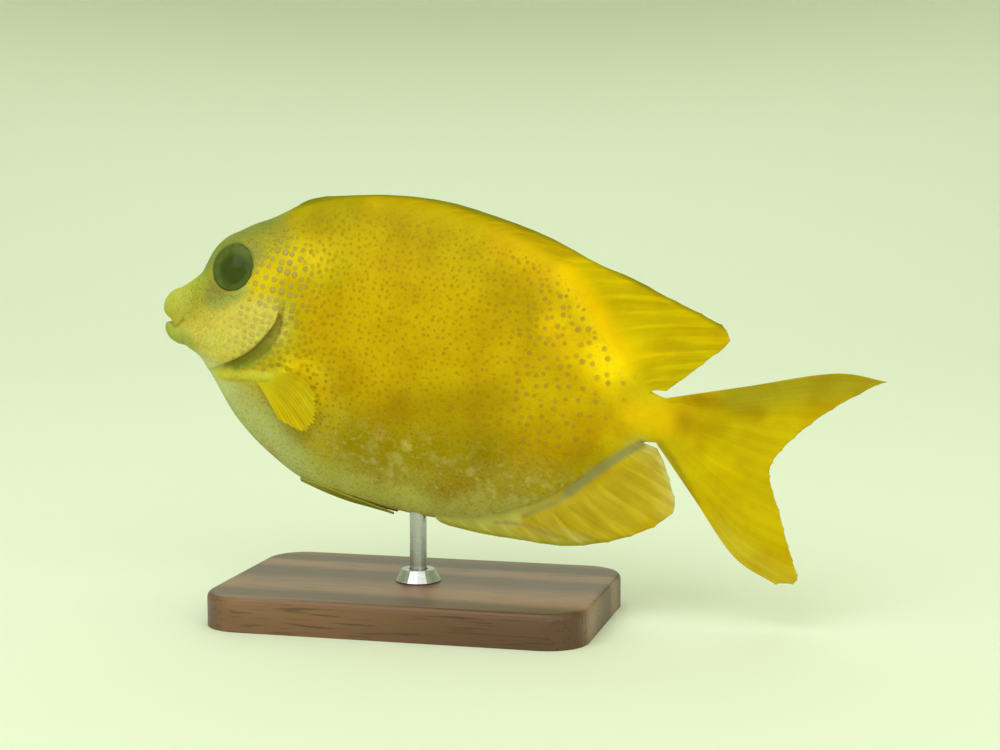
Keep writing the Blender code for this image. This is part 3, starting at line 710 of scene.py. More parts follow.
def relax(mesh: Mesh, rounds: int, before: float = math.inf) -> None:
    """Smooth a mesh without shrinking it.

    Args:
        mesh: The mesh.
        rounds: How many times each point moves towards its neighbours and back.
        before: How far back along the fish the smoothing reaches.
    """
    edges = np.empty(len(mesh.edges) * 2, dtype=np.int32)
    mesh.edges.foreach_get("vertices", edges)
    a, b = edges.reshape(-1, 2).T
    points = mesh_points(mesh)
    count = np.bincount(np.concatenate([a, b]), minlength=len(points)).astype(float)
    share = smoothstep(points[:, :1], before, before - 4.0) if before < math.inf else 1.0
    for _ in range(rounds):
        for factor in IN_AND_BACK:
            total = np.stack([np.bincount(a, points[b, k], len(points))
                              + np.bincount(b, points[a, k], len(points)) for k in range(3)], axis=1)
            points += factor * share * (total / count[:, None] - points)
    set_mesh_points(mesh, points)


# Clouds about 14 mm wide, how far their noise spreads, and how strong and what colour they are
CLOUDS_PER_MM = 0.07
CLOUD_NOISE = (0.42, 0.72)
CLOUD_MOST = 0.45
CLOUD_INK = "#d0b060"


def clouded(tree: NodeTree, ground: NodeSocket, place: NodeSocket) -> NodeSocket:
    """Lay soft clouds over a colour, which run on from the skin over the fins.

    Args:
        tree: The material's node tree.
        ground: The colour under them.
        place: Places in the fish's frame.

    Returns:
        The clouded colour.
    """
    clouds = add_node(tree, "TexNoise", None,
                      {"Vector": place, "Scale": CLOUDS_PER_MM, "Detail": 4.0, "Roughness": 0.55})
    low, high = CLOUD_NOISE
    share = add_node(tree, "MapRange", None,
                     {"Value": clouds.outputs["Fac"], 1: low, 2: high, 4: CLOUD_MOST})
    return add_node(tree, "Mix", TINT, {0: share.outputs[0], 6: ground, 7: rgba(CLOUD_INK)}).outputs[2]


@dataclass(frozen=True)
class ScaledSkin:
    """Fish skin of minute scales under a film of mucus.

    The scales give the eye a satin surface with a soft, wide highlight, and the mucus a thin
    clear gloss over it. The spots are slightly raised and dark-edged, their dark rim set off to
    one side as painted shadow. The gill openings and the mouth slit are darkened with painted shade.
    """

    name: str = "scaled_skin_with_mucus"
    # The real scales are about 0.6 mm wide and are drawn coarser, so that they show
    scale_width: float = 1.15
    grain_size: float = 0.9
    # Patches of thicker and thinner mucus, and the roughness from the one to the other
    film_per_mm: float = 0.35
    film_roughness: Pair = (0.38, 0.56)
    spot_pale: str = "#ab9c68"
    spot_dark: str = "#a47314"
    # The spots' dark rim: partly their own dark edge, partly painted shadow set off to one side
    rim: str = "#8c7a04"
    # Painted shade laid in the gill openings and the mouth slit
    hollow: str = "#87832a"
    freckle: str = "#6f6a1e"
    streak_pale: str = "#ddd044"
    streak_dark: str = "#c8af58"
    spot_cheek: str = "#d2c288"
    dust: str = "#bdb46a"
    grain: str = "#a88a3c"
    # Where the streaks fan out from, and how many there are in a full turn
    streak_fan: Triple = (27.0, 0.0, 13.0)
    streaks_round: float = 17.0
    # A spot's dark rim, set off as painted shadow: how far, its width by the core, both edges' softness
    shade_offset: Triple = (0.05, -0.06, 0.0)
    rim_width: float = 1.3
    rim_edge: float = 0.1
    core_edge: float = 0.07
    # Each of these runs from the pale spots to the dark ones
    spot_stray: Pair = (0.32, 0.8)
    rim_strength: Pair = (0.7, 0.33)
    core_strength: Pair = (0.85, 0.52)
    # How much the spots' radii differ by chance
    spot_spread: Pair = (0.78, 1.12)
    faintest_spot: float = 0.45
    firm_on_cheek: float = 0.1
    bump_metres: float = 0.00012

    def material(self) -> Material:
        """The finished material.

        Returns:
            A material that reads the skin's colour and pattern attributes.
        """
        material, tree, shader = new_material(self.name)
        place = add_node(tree, "Attribute", {"attribute_name": "fish_place"}).outputs["Vector"]
        ground = add_node(tree, "Attribute", {"attribute_name": "ground"}).outputs["Color"]
        colour = self.grained(tree, clouded(tree, ground, place), place)
        colour = self.streaked(tree, colour, place)
        colour, core = self.spotted(tree, colour)
        # Painted shade over the gill openings and the mouth slit
        hollow = add_node(tree, "Attribute", {"attribute_name": "hollow"}).outputs["Fac"]
        colour = add_node(tree, "Mix", OVER, {0: hollow, 6: colour, 7: rgba(self.hollow)}).outputs[2]
        tree.links.new(colour, shader.inputs["Base Color"])
        self.relief(tree, shader, place, core)
        set_sockets(shader, ior=1.38, coat_weight=0.015, coat_roughness=0.2, specular_ior_level=0.05)
        return material

    def grained(self, tree: NodeTree, colour: NodeSocket, place: NodeSocket) -> NodeSocket:
        """A fine grain, dark freckles round the eye and pale dust low on the flank.

        Args:
            tree: The material's node tree.
            colour: The colour under it.
            place: Places in the fish's frame.

        Returns:
            The new colour.
        """
        # Where it lies, noise per mm, detail, range, greatest strength, colour, how it is laid on
        layers = (("grain", 1 / self.grain_size, 2.0, 0.48, 0.75, 0.22, self.grain, TINT),
                  ("freckle", 1.5, 1.0, 0.54, 0.64, 0.8, self.freckle, OVER),
                  ("dust", 0.45, 2.0, 0.57, 0.74, 0.56, self.dust, OVER),
                  ("dust", 0.19, 2.0, 0.53, 0.69, 0.42, self.dust, OVER))
        for name, scale, detail, low, high, most, ink, how in layers:
            where = add_node(tree, "Attribute", {"attribute_name": name}).outputs["Fac"]
            noise = add_node(tree, "TexNoise", None, {"Vector": place, "Scale": scale, "Detail": detail})
            share = add_node(tree, "MapRange", None,
                             {"Value": noise.outputs["Fac"], 1: low, 2: high, 4: most})
            share = add_node(tree, "Math", TIMES, {0: share.outputs[0], 1: where})
            colour = add_node(tree, "Mix", how, {0: share.outputs[0], 6: colour, 7: rgba(ink)}).outputs[2]
        return colour

    def streaked(self, tree: NodeTree, colour: NodeSocket, place: NodeSocket) -> NodeSocket:
        """Fine pale streaks that fan out over the gill cover.

        Args:
            tree: The material's node tree.
            colour: The colour under it.
            place: Places in the fish's frame.

        Returns:
            The new colour.
        """
        away = add_node(tree, "VectorMath", MINUS, {0: place, 1: self.streak_fan})
        parts = add_node(tree, "SeparateXYZ", sockets={0: away.outputs[0]})
        angle = add_node(tree, "Math", {"operation": "ARCTAN2"},
                         {0: parts.outputs["Z"], 1: parts.outputs["X"]})
        reach = add_node(tree, "VectorMath", {"operation": "LENGTH"}, {0: away.outputs[0]})
        reach = add_node(tree, "Math", TIMES, {0: reach.outputs["Value"], 1: 0.04})
        fan = add_node(tree, "CombineXYZ", sockets={"X": angle.outputs[0], "Y": reach.outputs[0]})
        lines = add_node(tree, "TexNoise",
                         sockets={"Vector": fan.outputs[0], "Detail": 2.0, "Scale": self.streaks_round})
        cheek = add_node(tree, "Attribute", {"attribute_name": "cheek"}).outputs["Fac"]
        for low, high, ink in ((0.5, 0.6, self.streak_pale), (0.5, 0.4, self.streak_dark)):
            share = add_node(tree, "MapRange", sockets={"Value": lines.outputs["Fac"], 1: low, 2: high})
            share = add_node(tree, "Math", TIMES, {0: share.outputs[0], 1: cheek})
            colour = add_node(tree, "Mix", OVER,
                              {0: share.outputs[0], 6: colour, 7: rgba(ink)}).outputs[2]
        return colour

    def spotted(self, tree: NodeTree, colour: NodeSocket) -> tuple[NodeSocket, NodeSocket]:
        """Small round spots with dark rims, each rim set off to one side as painted shadow.

        Args:
            tree: The material's node tree.
            colour: The colour under them.

        Returns:
            The colour with its spots, and the share of each place that is spot.
        """
        grid = add_node(tree, "Attribute", {"attribute_name": "spot_grid"}).outputs["Vector"]
        size, tone, cheek = (add_node(tree, "Attribute", {"attribute_name": name}).outputs["Fac"]
                             for name in ("spot_size", "spot_tone", "cheek"))
        least, most = self.spot_stray
        stray = add_node(tree, "MapRange", sockets={"Value": tone, 3: least, 4: most})
        cells = add_node(tree, "TexVoronoi", {"voronoi_dimensions": "2D"},
                         {"Vector": grid, "Scale": 1.0, "Randomness": stray.outputs[0]})
        chance = add_node(tree, "SeparateColor", sockets={0: cells.outputs["Color"]})
        small, large = self.spot_spread
        vary = add_node(tree, "MapRange", sockets={"Value": chance.outputs[0], 3: small, 4: large})
        size = add_node(tree, "Math", TIMES, {0: size, 1: vary.outputs[0]}).outputs[0]
        away = add_node(tree, "VectorMath", MINUS, {0: grid, 1: cells.outputs["Position"]})
        # The rim's circle is set off to one side, as painted shadow beside the raised spot
        from_shadow_centre = add_node(tree, "VectorMath", MINUS, {0: away.outputs[0], 1: self.shade_offset})
        around = add_node(tree, "VectorMath", {"operation": "LENGTH"}, {0: from_shadow_centre.outputs[0]})
        wide = add_node(tree, "Math", TIMES, {0: size, 1: self.rim_width})
        rim = self.inside(tree, wide.outputs[0], around.outputs["Value"], self.rim_edge)
        core = self.inside(tree, size, cells.outputs["Distance"], self.core_edge)
        most = add_node(tree, "MapRange", sockets={"Value": cheek, 3: 1.0, 4: self.firm_on_cheek})
        firm = add_node(tree, "MapRange",
                        sockets={"Value": chance.outputs[1], 3: self.faintest_spot, 4: most.outputs[0]})
        ink = add_node(tree, "Mix", OVER, {0: tone, 6: rgba(self.spot_pale), 7: rgba(self.spot_dark)})
        ink = add_node(tree, "Mix", OVER, {0: cheek, 6: ink.outputs[2], 7: rgba(self.spot_cheek)})
        for share, (pale, dark), over in ((rim, self.rim_strength, rgba(self.rim)),
                                          (core, self.core_strength, ink.outputs[2])):
            fade = add_node(tree, "MapRange", sockets={"Value": tone, 3: pale, 4: dark})
            fade = add_node(tree, "Math", TIMES, {0: fade.outputs[0], 1: firm.outputs[0]})
            share = add_node(tree, "Math", TIMES, {0: share, 1: fade.outputs[0]})
            colour = add_node(tree, "Mix", OVER, {0: share.outputs[0], 6: colour, 7: over}).outputs[2]
        return colour, core

    @staticmethod
    def inside(tree: NodeTree, radius: NodeSocket, distance: NodeSocket, edge: float) -> NodeSocket:
        """1 inside a radius and 0 outside it, with a soft edge, and 0 where the radius is 0.

        Args:
            tree: The material's node tree.
            radius: The radius.
            distance: The distance from the middle.
            edge: The soft edge's width.

        Returns:
            The share that is inside.
        """
        depth = add_node(tree, "Math", MINUS, {0: radius, 1: distance})
        soft = add_node(tree, "MapRange", sockets={"Value": depth.outputs[0], 1: -edge / 2, 2: edge / 2})
        present = add_node(tree, "MapRange", sockets={"Value": radius, 1: edge, 2: 2 * edge})
        both = add_node(tree, "Math", TIMES, {0: soft.outputs[0], 1: present.outputs[0]})
        return both.outputs[0]

    def relief(self, tree: NodeTree, shader: Node, place: NodeSocket, core: NodeSocket) -> None:
        """Bump of the scales and spots, and a roughness that wanders with the mucus.

        Args:
            tree: The material's node tree.
            shader: Its shader.
            place: Places in the fish's frame.
            core: The share that is spot.
        """
        scales = add_node(tree, "TexVoronoi", {"feature": "SMOOTH_F1"},
                          {"Vector": place, "Scale": 1 / self.scale_width, "Smoothness": 0.3})
        height = add_node(tree, "Math", {"operation": "MULTIPLY_ADD"},
                          {0: core, 1: 0.9, 2: scales.outputs["Distance"]})
        bump = add_node(tree, "Bump", sockets={"Height": height.outputs[0], "Strength": 0.55,
                                               "Distance": self.bump_metres})
        tree.links.new(bump.outputs["Normal"], shader.inputs["Normal"])
        film = add_node(tree, "TexNoise",
                        sockets={"Vector": place, "Scale": self.film_per_mm, "Detail": 3.0})
        smooth, rough = self.film_roughness
        rough = add_node(tree, "MapRange",
                         sockets={"Value": film.outputs["Fac"], 1: 0.3, 2: 0.7, 3: smooth, 4: rough})
        tree.links.new(rough.outputs[0], shader.inputs["Roughness"])


@dataclass(frozen=True)
class Crease:
    """A groove, or a ridge where depth is below 0, along a line on both sides."""

    line: Line
    depth: float
    width: float

    def height(self, x: Array, z: Array) -> Array:
        """How far the skin stands out at places on the side."""
        return -self.depth * np.exp(-(Trace(self.line).distance(x, z) / self.width) ** 2)


@dataclass
class Skin:
    """One skin over head, trunk and tail root, with the mouth, nostrils and gill openings."""

    form: BodyForm
    pose: Pose
    livery: Livery
    finish: ScaledSkin
    # Size of the even mesh's cells, and where and how closely the sections stand
    cell: float = 0.53
    first_section: float = 0.95
    head_end: float = 56.0
    head_sections: int = 74
    # Above 1, so that the head's sections stand closer at the snout
    head_crowding: float = 1.35
    head_flank_steps: int = 90
    trunk_start: float = 14.0
    trunk_steps: Pair = (0.8, 2.0)
    trunk_flank_steps: int = 110
    skin_end: float = 198.0
    # Rounds of smoothing for the whole skin, for the lips, and last of all
    relax_rounds: int = 5
    lip_relax_rounds: int = 14
    lips_end: float = 18.0
    last_relax_rounds: int = 1
    # Corners of the cut behind the gill edge, clear of the body
    behind_gill: Line = ((15.0, -60.0), (90.0, -60.0), (90.0, 70.0), (37.0, 70.0))
    cut_half_width: float = 40.0
    mouth_half_width: float = 12.0
    nostril_depth: float = 0.9
    brow_height: float = 1.2
    brow_reach: float = 9.0
    upper_lip: tuple = ((7.6, 0.0, 5.0), (8.5, 5.3, 8.0))
    lower_lip: tuple = ((8.5, 0.0, -2.1), (7.5, 5.1, 5.7))
    mouth_notch: Line = ((-4.0, 4.8), (2.6, 1.3), (4.2, 0.1), (2.6, -0.5), (-4.0, -3.2))
    mouth_line: Line = ((0.0, 0.4), (3.0, 0.3), (4.4, -0.4), (6.1, -1.4), (7.6, -0.2), (9.4, 2.0))
    nostrils: Line = ((12.0, 16.4, 0.75), (14.3, 18.6, 0.9))
    gill_edge: Trace = Trace(((37.0, 52.0), (39.5, 36.0), (43.4, 24.0), (46.8, 16.5), (46.5, 9.8),
                              (42.2, 2.2), (37.9, -2.9), (31.5, -7.8), (24.0, -12.4),
                              (15.0, -17.0)), 48)
    shoulder: Trace = Trace(((38.6, 52.0), (41.2, 36.0), (45.4, 24.0), (48.9, 17.0), (50.0, 10.0),
                             (48.6, 2.2), (44.8, -2.6), (39.8, -6.6), (33.0, -10.8), (25.0, -15.0),
                             (16.0, -19.4)), 48)
    gill_depth: Line = ((-22.0, 0.4), (-14.0, 0.9), (-8.0, 2.2), (8.0, 2.2), (15.0, 1.4),
                        (22.0, 0.5), (52.0, 0.2))
    # The gill cover's free edge: flare, thickness, open heights and the space under it
    cover_flare: float = 0.9
    cover_thickness: float = 1.3
    cover_opening: Pair = (-12.5, 22.0)
    cover_reach: float = 2.6
    cover_overlap: float = 0.8
    cover_sections: tuple[float, float, int] = (20.0, 58.0, 40)
    cover_flank_steps: int = 60
    # Relief: crease of the lips, ring round the eye, folds over the muscles, rays on the
    # gill cover and a calmer midline
    mouth_crease: Pair = (0.75, 0.6)
    orbit_offset: Pair = (0.6, -0.2)
    orbit_radius: float = 9.3
    orbit_height: float = 0.5
    orbit_width: float = 1.2
    muscle_spacing: float = 7.5
    muscle_slant: float = 0.55
    muscle_height: float = 0.05
    cover_centre: Pair = (27.0, 13.0)
    cover_rays: float = 46.0
    cover_ray_height: float = 0.06
    midline_reach: float = 1.5
    midline_share: float = 0.3
    # Painted shade: how dark the gill opening is, how much less at its top, and how dark the mouth is
    gill_shade: Pair = (0.85, 0.4)
    mouth_shade: float = 0.55
    cheek_streaks: float = 0.5
    bar_freckles: float = 0.6
    gap_freckles: float = 0.4
    cheek_line: Trace = Trace(((20.0, 0.0), (30.0, 3.0), (42.0, 8.0)))
    dusky_bar: Trace = Trace(((38.0, 38.0), (30.0, 29.0), (22.0, 15.0), (15.0, 9.0)))
    freckled_gap: Trace = Trace(((50.0, 14.0), (50.0, 4.0), (45.0, -4.0)))
    fin_root: Line = ((28.2, -13.3, 1.4), (31.2, -13.1, 1.8), (36.0, -12.2, 1.5),
                      (41.0, -11.1, 1.8), (46.0, -9.8, 2.5), (50.0, -8.4, 2.2))
    fin_root_steps: int = 24
    # How far the ridge goes in with the trunk there, and into the skin as a share of its radius
    fin_root_sunk: Pair = (0.6, 0.4)
    creases: tuple[Crease, ...] = (
        Crease(((8.4, 14.6), (11.0, 11.4), (11.6, 7.0), (10.8, 3.4)), 0.25, 0.9),
        Crease(((9.6, -9.4), (10.4, -6.0), (12.0, -1.5), (12.6, 3.0)), 0.25, 0.8),
        Crease(((36.0, 19.0), (37.6, 12.0), (36.4, 5.0), (31.5, -1.5), (24.0, -5.8), (16.0, -6.0)),
               0.32, 0.9),
        Crease(((40.0, 34.0), (60.0, 41.0), (90.0, 41.0), (120.0, 32.0), (146.0, 16.0),
                (164.0, 8.0), (182.0, 5.0)), -0.06, 0.7),
        Crease(((53.0, -5.4), (50.5, -5.2), (48.0, -6.8)), 0.9, 1.1),
    )

    def build(self) -> Object:
        """Make the skin, dress it and hand it over to the frame.

        Returns:
            The finished skin.
        """
        head = self.head()
        trunk = self.trunk()
        ridges = [self.fin_root_ridge(side) for side in Side]
        skin = self.fuse("skin", [head, trunk, *ridges])
        relax(skin.data, self.relax_rounds)
        relax(skin.data, self.lip_relax_rounds, before=self.lips_end)
        self.sculpt(skin.data)
        relax(skin.data, self.last_relax_rounds)
        self.dress(skin)
        return skin

    def below_nape(self, z: Array) -> Array:
        """1 over the gill cover, fading to 0 at the nape."""
        return smoothstep(z, 28.0, 14.0)

    def head_swell(self, x: Array, z: Array) -> Array:
        """How far the brow and the flared gill cover stand out of the plain body.

        Args:
            x: Places along the fish.
            z: Heights.

        Returns:
            Millimetres outward.
        """
        from_eye = np.hypot(x - EYE_PLACE[0], z - EYE_PLACE[1])
        brow = self.brow_height * np.exp(-(from_eye / self.brow_reach) ** 2)
        near_edge = smoothstep(self.gill_edge.distance(x, z), 7.0, 0.0)
        return brow + self.cover_flare * near_edge * self.below_nape(z)

    def trunk_swell(self, x: Array, z: Array) -> Array:
        """How far the trunk draws in under the gill cover and in the gap behind it."""
        ahead = smoothstep(-self.shoulder.behind(x, z), 0.0, 2.2)
        return -smooth_curve(self.gill_depth, z) * ahead

    def head(self) -> Object:
        """Head and lips, its mouth, nostrils, eye sockets and the space under each gill cover.

        Returns:
            The closed head.
        """
        share = np.linspace(0, 1, self.head_sections) ** self.head_crowding
        xs = self.first_section + (self.head_end - self.first_section) * share
        head = self.form.loft(xs, self.head_flank_steps, self.head_swell).to_object("head")
        lips = [Solid.ellipsoid(*lip).to_object("lip") for lip in (self.upper_lip, self.lower_lip)]
        combine(head, lips, Cut.JOIN)
        edge = self.gill_edge.line()
        behind = np.vstack([edge, self.behind_gill])
        cutters = [Solid.prism(behind, self.cut_half_width),
                   Solid.prism(self.mouth_notch, self.mouth_half_width)]
        for side in Side:
            for x, z, radius in self.nostrils:
                y = float(self.form.half_width(np.array(x), np.array(z))) * side.value
                inner = y - self.nostril_depth * side.value
                line = np.linspace((x, inner, z), (x, y + 3.0 * side.value, z), 5)
                cutters.append(Solid.tube(line, [radius] * 5))
            cutters.append(Eye(side, self.form, self.pose).socket())
        combine(head, [c.to_object("cutter") for c in cutters], Cut.REMOVE)
        return combine(head, [self.under_cover()], Cut.REMOVE)

    def under_cover(self) -> Object:
        """The space under the free edge of both gill covers.

        Returns:
            The space as a solid.
        """
        edge = self.gill_edge.line()
        low, high = self.cover_opening
        edge = edge[(edge[:, 1] < high) & (edge[:, 1] > low)]
        along = np.gradient(edge, axis=0)
        along /= np.linalg.norm(along, axis=1)[:, None]
        ahead = np.stack([along[:, 1], -along[:, 0]], axis=1)
        reach = self.cover_reach * np.sin(np.pi * np.linspace(0.06, 0.94, len(edge)))[:, None]
        outline = np.vstack([edge - self.cover_overlap * ahead, (edge + reach * ahead)[::-1]])
        strip = Solid.prism(outline, self.cut_half_width).to_object("strip")
        inner = self.form.loft(np.linspace(*self.cover_sections), self.cover_flank_steps,
                               lambda x, z: self.head_swell(x, z) - self.cover_thickness)
        return combine(strip, [inner.to_object("inner")], Cut.KEEP_SHARED)

    def trunk(self) -> Object:
        """Trunk and tail root, drawn in under the gill covers and thinned into the tail fin.

        Returns:
            The closed trunk.
        """
        fine, wide = self.trunk_steps
        xs = np.concatenate([np.arange(self.trunk_start, self.head_end, fine),
                             np.arange(self.head_end, self.skin_end - 0.5, wide), [self.skin_end]])
        return self.form.loft(xs, self.trunk_flank_steps, self.trunk_swell).to_object("trunk")

    def fin_root_ridge(self, side: Side) -> Object:
        """The fleshy strip from the throat to the root of one breast fin.

        Args:
            side: The side it is on.

        Returns:
            The strip.
        """
        x, z, radius = through(self.fin_root, self.fin_root_steps).T
        with_trunk, into_skin = self.fin_root_sunk
        y = self.form.half_width(x, z) + self.trunk_swell(x, z) * with_trunk - into_skin * radius
        return Solid.tube(np.stack([x, y * side.value, z], axis=1), radius).to_object("ridge")

    def fuse(self, name: str, parts: list[Object]) -> Object:
        """One even skin round closed parts that overlap.

        Args:
            name: The skin's name.
            parts: The parts, which are used up.

        Returns:
            The skin as one closed mesh.
        """
        bm = bmesh.new()
        for part in parts:
            bm.from_mesh(part.data)
            bpy.data.objects.remove(part)
        mesh = bpy.data.meshes.new(name)
        bm.to_mesh(mesh)
        bm.free()
        skin = bpy.data.objects.new(name, mesh)
        bpy.context.scene.collection.objects.link(skin)
        remesh = skin.modifiers.new("even", "REMESH")
        remesh.mode = "VOXEL"
        remesh.voxel_size = self.cell
        apply_modifiers(skin)
        keep_largest(skin.data)
        return skin

    def sculpt(self, mesh: Mesh) -> None:
        """Raise and sink the skin for its creases, orbits and muscle.

        Args:
            mesh: The skin's mesh.
        """
        points = mesh_points(mesh)
        x, y, z = points.T
        height = sum(crease.height(x, z) for crease in self.creases)
        height += Crease(self.mouth_line, *self.mouth_crease).height(x, z)
        from_eye = np.hypot(x - EYE_PLACE[0] - self.orbit_offset[0],
                            z - EYE_PLACE[1] - self.orbit_offset[1])
        ring = (from_eye - self.orbit_radius) / self.orbit_width
        height += self.orbit_height * np.exp(-ring ** 2)
        flank = smoothstep(x, 56.0, 76.0) * smoothstep(x, 184.0, 160.0)
        bend = np.abs(z - smooth_curve(self.form.widest, x))
        folds = np.sin((x + self.muscle_slant * bend) * (2 * np.pi / self.muscle_spacing))
        height += self.muscle_height * folds * flank
        cover = smoothstep(self.gill_edge.behind(x, z), -0.2, -1.6) * smoothstep(x, 22.0, 30.0)
        angle = np.arctan2(z - self.cover_centre[1], x - self.cover_centre[0])
        rays = np.sin(angle * self.cover_rays)
        height += self.cover_ray_height * rays * cover * smoothstep(z, 14.0, 6.0)
        height[np.abs(y) < self.midline_reach] *= self.midline_share
        set_mesh_points(mesh, points + mesh_normals(mesh) * height[:, None])

    def dress(self, skin: Object) -> None:
        """Store the skin's colours, pattern and painted shade, pose it and give it its material.

        Args:
            skin: The skin.
        """
        mesh = skin.data
        points = mesh_points(mesh)
        x, y, z = points.T
        add_attribute(mesh, "fish_place", points)
        add_attribute(mesh, "ground", self.livery.paint(points))
        lay = Spots(self.form).lay(x, y, z)
        for name, values in zip(("spot_grid", "spot_size", "spot_tone"), lay):
            add_attribute(mesh, name, values)
        # Painted shade where the skin is sunk in the gap behind each gill cover, and along the mouth slit
        plain = self.form.half_width(x, z)
        sunk = smoothstep(plain - np.abs(y), 0.7, 2.0)
        gill = sunk * smoothstep(x, 24.0, 32.0) * smoothstep(x, 58.0, 54.0) * smoothstep(z, 26.0, 18.0)
        mouth = smoothstep(Trace(self.mouth_line).distance(x, z), 0.9, 0.2)
        deep, less = self.gill_shade
        gill *= deep - less * smoothstep(z, -3.0, 12.0)
        add_attribute(mesh, "hollow", np.clip(gill + self.mouth_shade * mouth, 0.0, 1.0))
        ahead = smoothstep(self.gill_edge.behind(x, z), -0.3, -1.5)
        cheek = smoothstep(self.cheek_line.distance(x, z), 11.0, 4.0)
        add_attribute(mesh, "cheek", self.cheek_streaks * ahead * cheek)
        freckle = self.bar_freckles * smoothstep(self.dusky_bar.distance(x, z), 11.0, 4.0)
        freckle += self.gap_freckles * smoothstep(self.freckled_gap.distance(x, z), 6.0, 2.0)
        add_attribute(mesh, "freckle", freckle)
        add_attribute(mesh, "dust", smoothstep(z, -10.0, -30.0) * smoothstep(x, 52.0, 76.0))
        grain = smoothstep(x, 186.0, 162.0) * (1 + smoothstep(z, 0.0, -30.0))
        add_attribute(mesh, "grain", grain)
        mesh.materials.clear()
        mesh.materials.append(self.finish.material())
        set_mesh_points(mesh, self.pose.world(points))
        mesh.shade_smooth()
        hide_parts("head", "trunk", "tail_root")
        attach(skin, "root")


def keep_largest(mesh: Mesh) -> None:
    """Drop all but the largest connected surface of a mesh.

    Args:
        mesh: The mesh.
    """
    edges = np.empty(len(mesh.edges) * 2, dtype=np.int32)
    mesh.edges.foreach_get("vertices", edges)
    a, b = edges.reshape(-1, 2).T
    group = np.arange(len(mesh.vertices))
    while True:
        lowest = np.minimum(group[a], group[b])
        new = group.copy()
        np.minimum.at(new, a, lowest)
        np.minimum.at(new, b, lowest)
        new = new[new]
        if np.array_equal(new, group):
            break
        group = new
    main = np.bincount(group).argmax()
    bm = bmesh.new()
    bm.from_mesh(mesh)
    bm.verts.ensure_lookup_table()
    loose = [bm.verts[int(i)] for i in np.flatnonzero(group != main)]
    bmesh.ops.delete(bm, geom=loose, context="VERTS")
    bm.to_mesh(mesh)
    bm.free()


@dataclass(frozen=True)
class Spots:
    """Where the spots lie, how large they are and how pale.

    The spots follow a square grid that a smooth map spreads over the flank without shearing it:
    about 3 mm apart on the head, 3.5 mm in a patch behind the eye, 2.6 mm on the flank and 4 mm
    and more towards the tail.
    """

    form: BodyForm
    middle_x: float = 90.0
    # Grid steps per mm at middle_x and how that changes along the fish
    per_mm: tuple[float, ...] = (0.388, -7.2e-4, -2.54e-5, -3.1e-8)
    # Middle and reach of the patch behind the eye, and how much wider apart its spots stand
    patch: tuple[float, float, float, float] = (41.0, 25.0, 20.0, 0.24)
    # How far the far side's grid is moved, so that its spots lie in another way
    far_side_shift: float = 300.5
    radius: Line = ((0.0, 0.5), (24.0, 0.58), (32.0, 0.84), (49.0, 0.88), (61.0, 0.68), (74.0, 0.5),
                    (110.0, 0.5), (128.0, 0.6), (146.0, 0.74), (172.0, 0.76), (198.0, 0.6))
    front: Trace = Trace(((48.0, 50.5), (44.0, 46.0), (40.4, 42.0), (37.6, 37.4), (35.8, 33.0),
                          (34.8, 28.6), (33.8, 24.0), (33.4, 18.0), (30.5, 12.5), (24.0, 9.0),
                          (17.0, 5.5), (12.0, 1.0)))
    # Heights under which no spots lie, from the cheek to the flank
    lowest_x: tuple[float, ...] = (14.0, 27.0, 50.0, 60.0)
    lowest_z: tuple[float, ...] = (-7.0, -12.0, -7.0, -30.0)
    back_fade: Pair = (0.015, 0.08)
    belly_fade: Pair = (0.1, 0.32)
    smallest: float = 0.25
    nape_shrink: float = 0.4
    rear_pale: float = 0.25
    # A spot that is shown less than this is left out
    least_shown: float = 0.05

    def lay(self, x: Array, y: Array, z: Array) -> tuple[Array, ...]:
        """Work out the spots' grid, size and tone.

        Args:
            x: Places along the fish.
            y: Places across it.
            z: Heights.

        Returns:
            A grid place for each point, the spots' radius there as a share of their spacing,
            and their tone from pale to dark.
        """
        patch_x, patch_z, patch_reach, spread = self.patch
        apart = 1 - spread * np.exp(-(np.hypot(x - patch_x, z - patch_z) / patch_reach) ** 2)
        w = patch_x - self.middle_x + (x - patch_x) * apart + 1j * (patch_z + (z - patch_z) * apart)
        place = sum(c / (k + 1) * w ** (k + 1) for k, c in enumerate(self.per_mm))
        density = apart * np.abs(sum(c * w**k for k, c in enumerate(self.per_mm)))
        shift = np.where(y > 0, self.far_side_shift, 0.0)
        grid = np.stack([place.real + shift, place.imag, 0 * x], axis=1)
        shown = smoothstep(x, 13.0, 20.0) * smoothstep(x, 203.0, 192.0)
        back, belly = smooth_curve(self.form.back, x), smooth_curve(self.form.belly, x)
        shown *= smoothstep((back - z) / (back - belly), *self.back_fade)
        shown *= smoothstep((z - belly) / (back - belly), *self.belly_fade)
        lowest = np.interp(x, self.lowest_x, self.lowest_z)
        shown *= smoothstep(z, lowest - 1.0, lowest + 1.5)
        shown *= smoothstep(self.front.behind(x, z), -0.6, 2.4)
        shown *= 0.5 + 0.5 * smoothstep(x + 0.6 * z, 28.0, 42.0)
        nape = smoothstep(z, 33.0, 42.0) * smoothstep(x, 62.0, 50.0)
        grown = self.smallest + (1 - self.smallest) * shown
        size = smooth_curve(self.radius, x) * density * grown * (1 - self.nape_shrink * nape)
        tone = smoothstep(x + 0.4 * np.abs(z - 24.0) + 7.0 * nape, 46.0, 66.0)
        tone *= 1 - self.rear_pale * smoothstep(x, 118.0, 146.0)
        return grid, np.where(shown > self.least_shown, size, 0.0), tone


